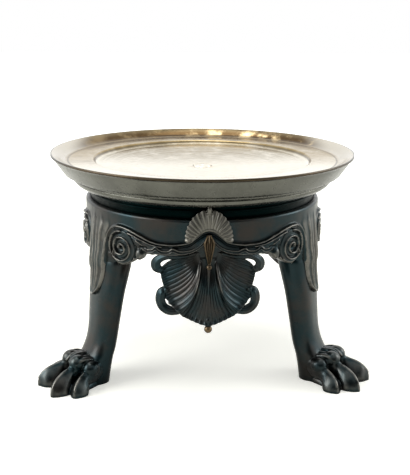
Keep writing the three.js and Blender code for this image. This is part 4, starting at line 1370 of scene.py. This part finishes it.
def shell_parts():
    """Four lobes, the straps with their balls, the middle rib, the stem and the tab."""
    parts = []
    for side in (1, -1):
        t, drop, u, v, forward = lobe(SIDE_RIBS, side, 145)
        wave = np.abs(np.sin(u * SIDE_COUNT * np.pi)) ** 0.5
        rib = (0.85 * wave - 0.5) * ease((v - 0.06) / 0.3)
        hollow = 2.0 * np.sin(np.pi * np.clip(u, 0, 1) ** 0.9) * ease(v / 0.5) * (1 - 0.45 * v)
        ledge = 3.0 * np.exp(-(((1 - u) * 7.5) ** 2)) * ease(v / 0.12)
        lip = 0.9 * np.exp(-(((1 - v) * 16) ** 2)) * ease((u - 0.08) / 0.1)
        plane = forward - hollow
        parts.append(lobe_plate(t, drop, plane + rib + ledge + lip, plane - SHELL_THICK))
        t, drop, u, v, forward = lobe(MIDDLE_RIBS, side, 91)
        wave = np.abs(np.sin(u * MIDDLE_COUNT * np.pi)) ** 0.55
        rib = (0.75 * wave - 0.38) * ease((v - 0.1) / 0.3)
        ledge = 3.0 * np.exp(-((u * 5.5) ** 2)) * ease(v / 0.12)
        hollow = 1.5 * np.sin(np.pi * np.clip(u * 0.75 + 0.2, 0, 1)) * ease(v / 0.5) * (1 - 0.4 * v)
        lip = 0.8 * np.exp(-(((1 - v) * 20) ** 2))
        plane = forward - hollow
        parts.append(lobe_plate(t, drop, plane + rib + ledge + lip, plane - SHELL_THICK))
        for rows in (STRAP_TOP, STRAP_LOW):
            line = smooth_line(np.array(rows), 44)
            points = np.stack([SHELL_N + line[:, 2] - 0.3, line[:, 0] * side, COLLAR_TOP - line[:, 1]], -1)
            parts.append(rod(points, line[:, 3], 18, 0.72))
            # Raised middle of the strap
            points[:, 0] += line[:, 3] * 0.45
            parts.append(rod(points[4:-3], line[4:-3, 3] * 0.42, 12))
        parts.append(ball((SHELL_N - 0.2, 23.2 * side, COLLAR_TOP - 24.5), 1.75, (0.8, 1, 1)))
        parts.append(ball((SHELL_N - 0.2, 20.6 * side, COLLAR_TOP - 35.2), 1.35, (0.8, 1, 1)))
    # Thin rib down the middle, the stem under the tip and the tab behind the collar
    middle = [(SHELL_N + n, 0, COLLAR_TOP - drop) for n, drop in ((0.8, 24.5), (0.1, 31), (-0.4, 38.5))]
    parts.append(rod(smooth_line(middle, 24), np.linspace(0.9, 0.6, 24), 12))
    stem = [(SHELL_N + n, 0, COLLAR_TOP - drop) for n, drop in ((-0.7, 50.5), (-0.9, 53.9))]
    parts.append(rod(stem, [1.5, 1.0], 14))
    w, (top, low) = TAB_HALF, TAB_DROPS
    corners = ((-w, top), (w, top), (w, low), (-w, low))
    parts.append(tube([[(n, t, COLLAR_TOP - drop) for t, drop in corners] for n in (TAB_N - 1.6, TAB_N)]))
    # The shell follows the collar's curve
    parts = [(np.array(points, float), faces) for points, faces in parts]
    for points, _ in parts:
        back = SHELL_BEND * (COLLAR_R - np.sqrt(COLLAR_R**2 - points[:, 1] ** 2))
        points[:, 0] -= back
        points[:, 2] -= back * SHELL_LOWER
    return parts


class STAND_OT_shells(bpy.types.Operator):
    """Makes the pierced shells that hang in the bays"""

    bl_idname = "stand.shells"
    bl_label = "Shells"

    def execute(self, context):
        step = context.scene.stand_sizes.remesh_step / MM * SHELL_STEP_SHARE
        mesh = cast_in_one("shell_looks", shell_parts(), step, 1, 0.5)
        to_frame(mesh, touch=self.touch)
        for name, degrees in BAYS.items():
            place(f"shell_{name}_looks", mesh, finish("patina"), degrees, [f"shell_{name}"])
        return {"FINISHED"}

    @staticmethod
    def touch(co, out):
        """The tab behind the shell gets painted shade, in the dark tone of the hollows, and the two ridges
        are rubbed.
        """
        drop, t = COLLAR_TOP - co[:, 2], np.abs(co[:, 1])
        # Painted shade: the tab lies behind the shell
        tab = (co[:, 0] < TAB_N + 0.5) & (drop < TAB_DROPS[1] + 3.2) & (t < TAB_HALF + 0.6)
        on_ridge = ease(1 - np.abs(t - smooth_between(SHELL_RIDGE, drop)) / 1.9)
        on_ridge = on_ridge * ease((drop - 17) / 3) * ease((42 - drop) / 8)
        return np.where(tab, np.minimum(out, -0.1), out + 0.35 * on_ridge)


# Fans
FAN_RIBS = 17
# Drop of the fan's middle, and its reach sideways and upwards
FAN_BASE = 10.2
FAN_WIDE = 11.2
FAN_HIGH = 15.2
FAN_STEP_SHARE = 0.55


def fan_foot(w):
    """Distance from the fan's middle to the apron's line, in the direction of each rib."""
    r = np.linspace(0, 14, 281)[None, :]
    t, drop = r * np.cos(w), FAN_BASE - r * np.sin(w)
    # The foot ends a little above the line
    above = drop < smooth_between(LINE, np.degrees(np.abs(t) / COLLAR_R)) - 0.35
    return r[0, np.argmax(above, axis=1)][:, None]


def fan_parts(outer):
    """The ribbed fan, bent round the collar, with its knob and neck."""
    middle = COLLAR_TOP - FAN_BASE
    w = np.linspace(math.radians(-4), math.radians(184), 300)[:, None]
    v = np.linspace(0, 1, 34)[None, :]
    u = (w - w[0]) / (w[-1] - w[0])
    wave = np.abs(np.sin(u * FAN_RIBS * np.pi))
    foot = np.minimum(fan_foot(w), 9.6)
    edge = 1 / np.sqrt((np.cos(w) / FAN_WIDE) ** 2 + (np.sin(w) / FAN_HIGH) ** 2)
    r = foot + (edge + 0.4 * wave - foot) * v
    t = r * np.cos(w)
    h = middle + r * np.sin(w)
    crown = 1.3 + 0.6 * np.sin(v * np.pi) - 0.5 * v
    rib = (wave**0.35 - 0.75) * ease((v - 0.1) / 0.15)
    # Row of beads along the foot
    bead = 0.4 * np.abs(np.sin(u * 2 * FAN_RIBS * np.pi)) * ease(np.sin(w) / 0.5)
    reach = outer + 0.3 + crown + rib + bead * np.exp(-(((v - 0.07) / 0.06) ** 2))
    front = np.stack([np.sqrt(reach**2 - t**2), t, h], -1)
    back = np.stack([np.sqrt((outer + 0.32) ** 2 - t**2), t, h], -1)
    top = middle + FAN_HIGH
    knob = rod([(outer + 1.6, 0, top - 0.6), (outer + 1.7, 0, top + 0.9)], [1.0, 1.15], 14)
    neck = ball((outer + 1.5, 0, top - 1.4), 0.95, (1, 1.7, 0.7))
    return [slab(front, back), knob, neck]


class STAND_OT_fans(bpy.types.Operator):
    """Makes the ribbed fans above the shells"""

    bl_idname = "stand.fans"
    bl_label = "Fans"

    def execute(self, context):
        sizes = context.scene.stand_sizes
        step = sizes.remesh_step / MM * FAN_STEP_SHARE
        mesh = cast_in_one("fan_looks", fan_parts(sizes.collar_radius / MM), step, 1, 0.4)
        to_frame(mesh)
        for name, degrees in BAYS.items():
            place(f"fan_{name}_looks", mesh, finish("fan"), degrees, [f"fan_{name}"])
        return {"FINISHED"}


# Drops and end balls
# Drop below the collar's top, half width and depth of each section
DROP_ROWS = [
    (6.8, 0.9, 1.2),
    (8.2, 1.8, 2.2),
    (10.0, 2.7, 3.0),
    (11.4, 2.9, 3.2),
    (13.6, 2.5, 3.0),
    (17.0, 1.65, 2.6),
    (20.0, 0.9, 2.1),
    (21.6, 0.6, 1.7),
]
# Share of the depth and of the half width: three leaves side by side
DROP_SECTION = [
    (0, -0.92),
    (0.55, -1.0),
    (0.82, -0.82),
    (0.88, -0.66),
    (0.62, -0.42),
    (0.66, -0.2),
    (0.95, 0.0),
    (0.66, 0.2),
    (0.62, 0.42),
    (0.88, 0.66),
    (0.82, 0.82),
    (0.55, 1.0),
    (0, 0.92),
]
DROP_STEP = 0.16


class STAND_OT_drops(bpy.types.Operator):
    """Makes the pointed drops with their small balls"""

    bl_idname = "stand.drops"
    bl_label = "Drops"

    def execute(self, context):
        outer = context.scene.stand_sizes.collar_radius / MM
        back = outer + 1.2
        rings = [
            [(back + x * deep, t * half, COLLAR_TOP - drop) for x, t in DROP_SECTION]
            for drop, half, deep in smooth_line(DROP_ROWS, 60)
        ]
        parts = [tube(rings), ball((back + 1.0, 0, COLLAR_TOP - 22.6), 1.4)]
        mesh = cast_in_one("drop_looks", parts, DROP_STEP, 1, 0.4)
        to_frame(mesh)
        for name, degrees in BAYS.items():
            place(f"drop_{name}_looks", mesh, finish("worn"), degrees, [f"drop_{name}"])
        return {"FINISHED"}


class STAND_OT_end_balls(bpy.types.Operator):
    """Makes the balls under the tips of the shells"""

    bl_idname = "stand.end_balls"
    bl_label = "End balls"

    def execute(self, context):
        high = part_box("end_ball_front")[1]
        size = context.scene.stand_sizes.ball_radius / MM
        middle = (high.z - FLOOR_Z) / MM - size + 0.1
        points, faces = ball((SHELL_N - 0.9, 0, middle), size, (0.98, 0.98, 0.98), 24, 40)
        mesh = make_mesh("end_ball_looks", points, faces)
        to_frame(mesh)
        for name, degrees in BAYS.items():
            replaced = [f"end_ball_{name}"]
            place(f"end_ball_{name}_looks", mesh, finish("worn"), degrees, replaced)
        return {"FINISHED"}


class STAND_OT_fixings(bpy.types.Operator):
    """Gives the hidden bridge, screws, nut and pins their finish"""

    bl_idname = "stand.fixings"
    bl_label = "Fixings"

    def execute(self, context):
        for name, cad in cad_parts.items():
            if cad.hide_render:
                continue
            kind = "patina" if name == "bridge" else "steel"
            cad.data.materials.clear()
            cad.data.materials.append(finish(kind))
        return {"FINISHED"}


# Stage: floor, lamps, world and camera
# The camera's place in mm and its tilt and roll in degrees. Its focal length and shift
# are in pixels of a picture that is 475 pixels high.
CAMERA = {
    "place": (-25.0, -447.3, 83.2),
    "tilt": 15.42,
    "roll": 0.37,
    "focal_px": 847.5,
    "shift_px": 3.2,
    "long_px": 475,
}
FLOOR_HALF = 3.0
# Name, place, aim, diameter in metres and watts
LAMPS = (
    ("overhead_softbox", (-0.1, 0.1, 1.1), (0, 0, 0), 0.9, 6.0),
    ("left_softbox", (-1.0, -0.25, 0.45), (0, 0, -0.05), 0.8, 9.0),
    ("right_softbox", (1.0, 0.1, 0.4), (0, 0, -0.05), 0.6, 4.0),
)


class STAND_OT_stage(bpy.types.Operator):
    """Sets the floor, the soft lamps, the pale world and the camera"""

    bl_idname = "stand.stage"
    bl_label = "Stage"

    def execute(self, context):
        scene = context.scene
        self.floor(scene)
        self.world(scene)
        self.lamps(scene)
        self.camera(scene)
        scene.view_settings.view_transform = "Standard"
        return {"FINISHED"}

    @staticmethod
    def floor(scene):
        """A sheet of white paper under the stand."""
        corners = [(x * FLOOR_HALF, y * FLOOR_HALF, FLOOR_Z) for x, y in ((-1, -1), (1, -1), (1, 1), (-1, 1))]
        mesh = bpy.data.meshes.new("floor")
        mesh.from_pydata(corners, [], [(0, 1, 2, 3)])
        floor = bpy.data.objects.new("floor", mesh)
        scene.collection.objects.link(floor)
        material, tree = new_material("Paper sheet, matt white")
        path = node(tree, "ShaderNodeLightPath")
        matt = node(
            tree,
            "ShaderNodeBsdfPrincipled",
            {"Base Color": shaded(scene.stand_colours.floor), "Roughness": 0.9, "Specular IOR Level": 0.1},
        )
        # Around the stand the sheet keeps its soft shadow, further off it is plain white
        where = node(tree, "ShaderNodeTexCoord").outputs["Object"]
        far = node(tree, "ShaderNodeVectorMath", {0: where}, operation="LENGTH").outputs["Value"]
        strength = node(
            tree,
            "ShaderNodeMapRange",
            {"Value": far, "From Min": 0.15, "From Max": 0.5, "To Min": 0.44, "To Max": 1.0},
            interpolation_type="SMOOTHSTEP",
        ).outputs[0]
        glow = node(tree, "ShaderNodeEmission", {"Color": (1, 1, 0.96, 1), "Strength": strength})
        both = node(tree, "ShaderNodeAddShader", {0: matt.outputs[0], 1: glow.outputs[0]})
        faces = {0: path.outputs["Is Camera Ray"], 1: matt.outputs[0], 2: both.outputs[0]}
        seen = node(tree, "ShaderNodeMixShader", faces)
        node(tree, "ShaderNodeOutputMaterial", {"Surface": seen.outputs[0]})
        mesh.materials.append(material)

    @staticmethod
    def world(scene):
        """White room: mirrored as it is by metal, dimmer as light, plain white to the camera."""
        world = bpy.data.worlds.new("Studio")
        world.use_nodes = True
        scene.world = world
        tree = world.node_tree
        tree.nodes.clear()
        path = node(tree, "ShaderNodeLightPath").outputs
        where = node(tree, "ShaderNodeTexCoord").outputs["Generated"]
        x, y, z = node(tree, "ShaderNodeSeparateXYZ", {"Vector": where}).outputs
        # The room in front of the stand is darker than the white behind, above and beside it
        behind, above, left, right = (
            node(
                tree,
                "ShaderNodeMapRange",
                {"Value": value, "From Min": low, "From Max": high, "To Min": to_low, "To Max": to_high},
                interpolation_type="SMOOTHSTEP",
            ).outputs[0]
            for value, low, high, to_low, to_high in (
                (y, -0.85, -0.1, 0.08, 1.2),
                (z, 0.35, 0.75, 0.0, 1.0),
                (x, -0.35, -0.9, 0.0, 1.7),
                (x, 0.5, 0.95, 0.0, 1.6),
            )
        )
        room = behind
        for side in (above, left, right):
            room = node(tree, "ShaderNodeMath", {0: room, 1: side}, operation="MAXIMUM").outputs[0]
        dim = node(tree, "ShaderNodeMath", {0: room, 1: 0.5}, operation="MULTIPLY").outputs[0]
        mirrored = {0: path["Is Glossy Ray"], 2: dim, 3: room}
        light = node(tree, "ShaderNodeMix", mirrored, data_type="FLOAT").outputs[0]
        seen = {0: path["Is Camera Ray"], 1: path["Is Transmission Ray"]}
        clear = node(tree, "ShaderNodeMath", seen, operation="MAXIMUM").outputs[0]
        level = node(tree, "ShaderNodeMix", {0: clear, 2: light, 3: 1.0}, data_type="FLOAT").outputs[0]
        sky = node(tree, "ShaderNodeBackground", {"Color": (1, 1, 1, 1), "Strength": level})
        node(tree, "ShaderNodeOutputWorld", {"Surface": sky.outputs[0]})

    @staticmethod
    def lamps(scene):
        """Round soft boxes, each turned to the stand."""
        for name, spot, aim, size, power in LAMPS:
            lamp = bpy.data.lights.new(name, "AREA")
            lamp.shape = "DISK"
            lamp.size = size
            lamp.energy = power
            piece = bpy.data.objects.new(name, lamp)
            piece.location = spot
            piece.rotation_euler = (Vector(aim) - Vector(spot)).to_track_quat("-Z", "Y").to_euler()
            scene.collection.objects.link(piece)

    @staticmethod
    def camera(scene):
        """A camera in front of the stand and slightly above it."""
        lens = bpy.data.cameras.new("camera")
        view = bpy.data.objects.new("camera", lens)
        scene.collection.objects.link(view)
        x, y, z = CAMERA["place"]
        view.location = (x * MM, y * MM, z * MM)
        turn = Matrix.Rotation(math.atan2(x, -y), 3, "Z")
        tilt = Matrix.Rotation(math.radians(90 - CAMERA["tilt"]), 3, "X")
        roll = Matrix.Rotation(math.radians(CAMERA["roll"]), 3, "Z")
        view.rotation_euler = (turn @ tilt @ roll).to_euler()
        lens.sensor_width = 36.0
        lens.lens = CAMERA["focal_px"] / CAMERA["long_px"] * lens.sensor_width
        lens.shift_x = CAMERA["shift_px"] / CAMERA["long_px"]
        lens.clip_start, lens.clip_end = 0.01, 20
        scene.camera = view


OPERATORS = (
    STAND_OT_dish,
    STAND_OT_centre_screw,
    STAND_OT_collar,
    STAND_OT_legs,
    STAND_OT_shells,
    STAND_OT_fans,
    STAND_OT_drops,
    STAND_OT_end_balls,
    STAND_OT_fixings,
    STAND_OT_stage,
)


class STAND_PT_panel(bpy.types.Panel):
    """Sizes, colours and building steps of the stand"""

    bl_idname = "STAND_PT_panel"
    bl_label = "Tripod stand"
    bl_space_type = "VIEW_3D"
    bl_region_type = "UI"
    bl_category = "Stand"

    def draw(self, context):
        layout = self.layout
        for group in (context.scene.stand_sizes, context.scene.stand_colours):
            box = layout.box()
            for key in group.__annotations__:
                box.prop(group, key)
        for operator in OPERATORS:
            layout.operator(operator.bl_idname)


CLASSES = (StandSizes, StandColours, *OPERATORS, STAND_PT_panel)


def register():
    for cls in CLASSES:
        bpy.utils.register_class(cls)
    bpy.types.Scene.stand_sizes = bpy.props.PointerProperty(type=StandSizes)
    bpy.types.Scene.stand_colours = bpy.props.PointerProperty(type=StandColours)


def unregister():
    del bpy.types.Scene.stand_colours
    del bpy.types.Scene.stand_sizes
    for cls in reversed(CLASSES):
        bpy.utils.unregister_class(cls)


def main():
    """Builds the stand piece by piece."""
    register()
    for operator in OPERATORS:
        group, name = operator.bl_idname.split(".")
        if getattr(getattr(bpy.ops, group), name)() != {"FINISHED"}:
            raise RuntimeError(f"{operator.bl_label} didn't finish")
    bpy.context.view_layer.update()


if __name__ == "__main__":
    main()
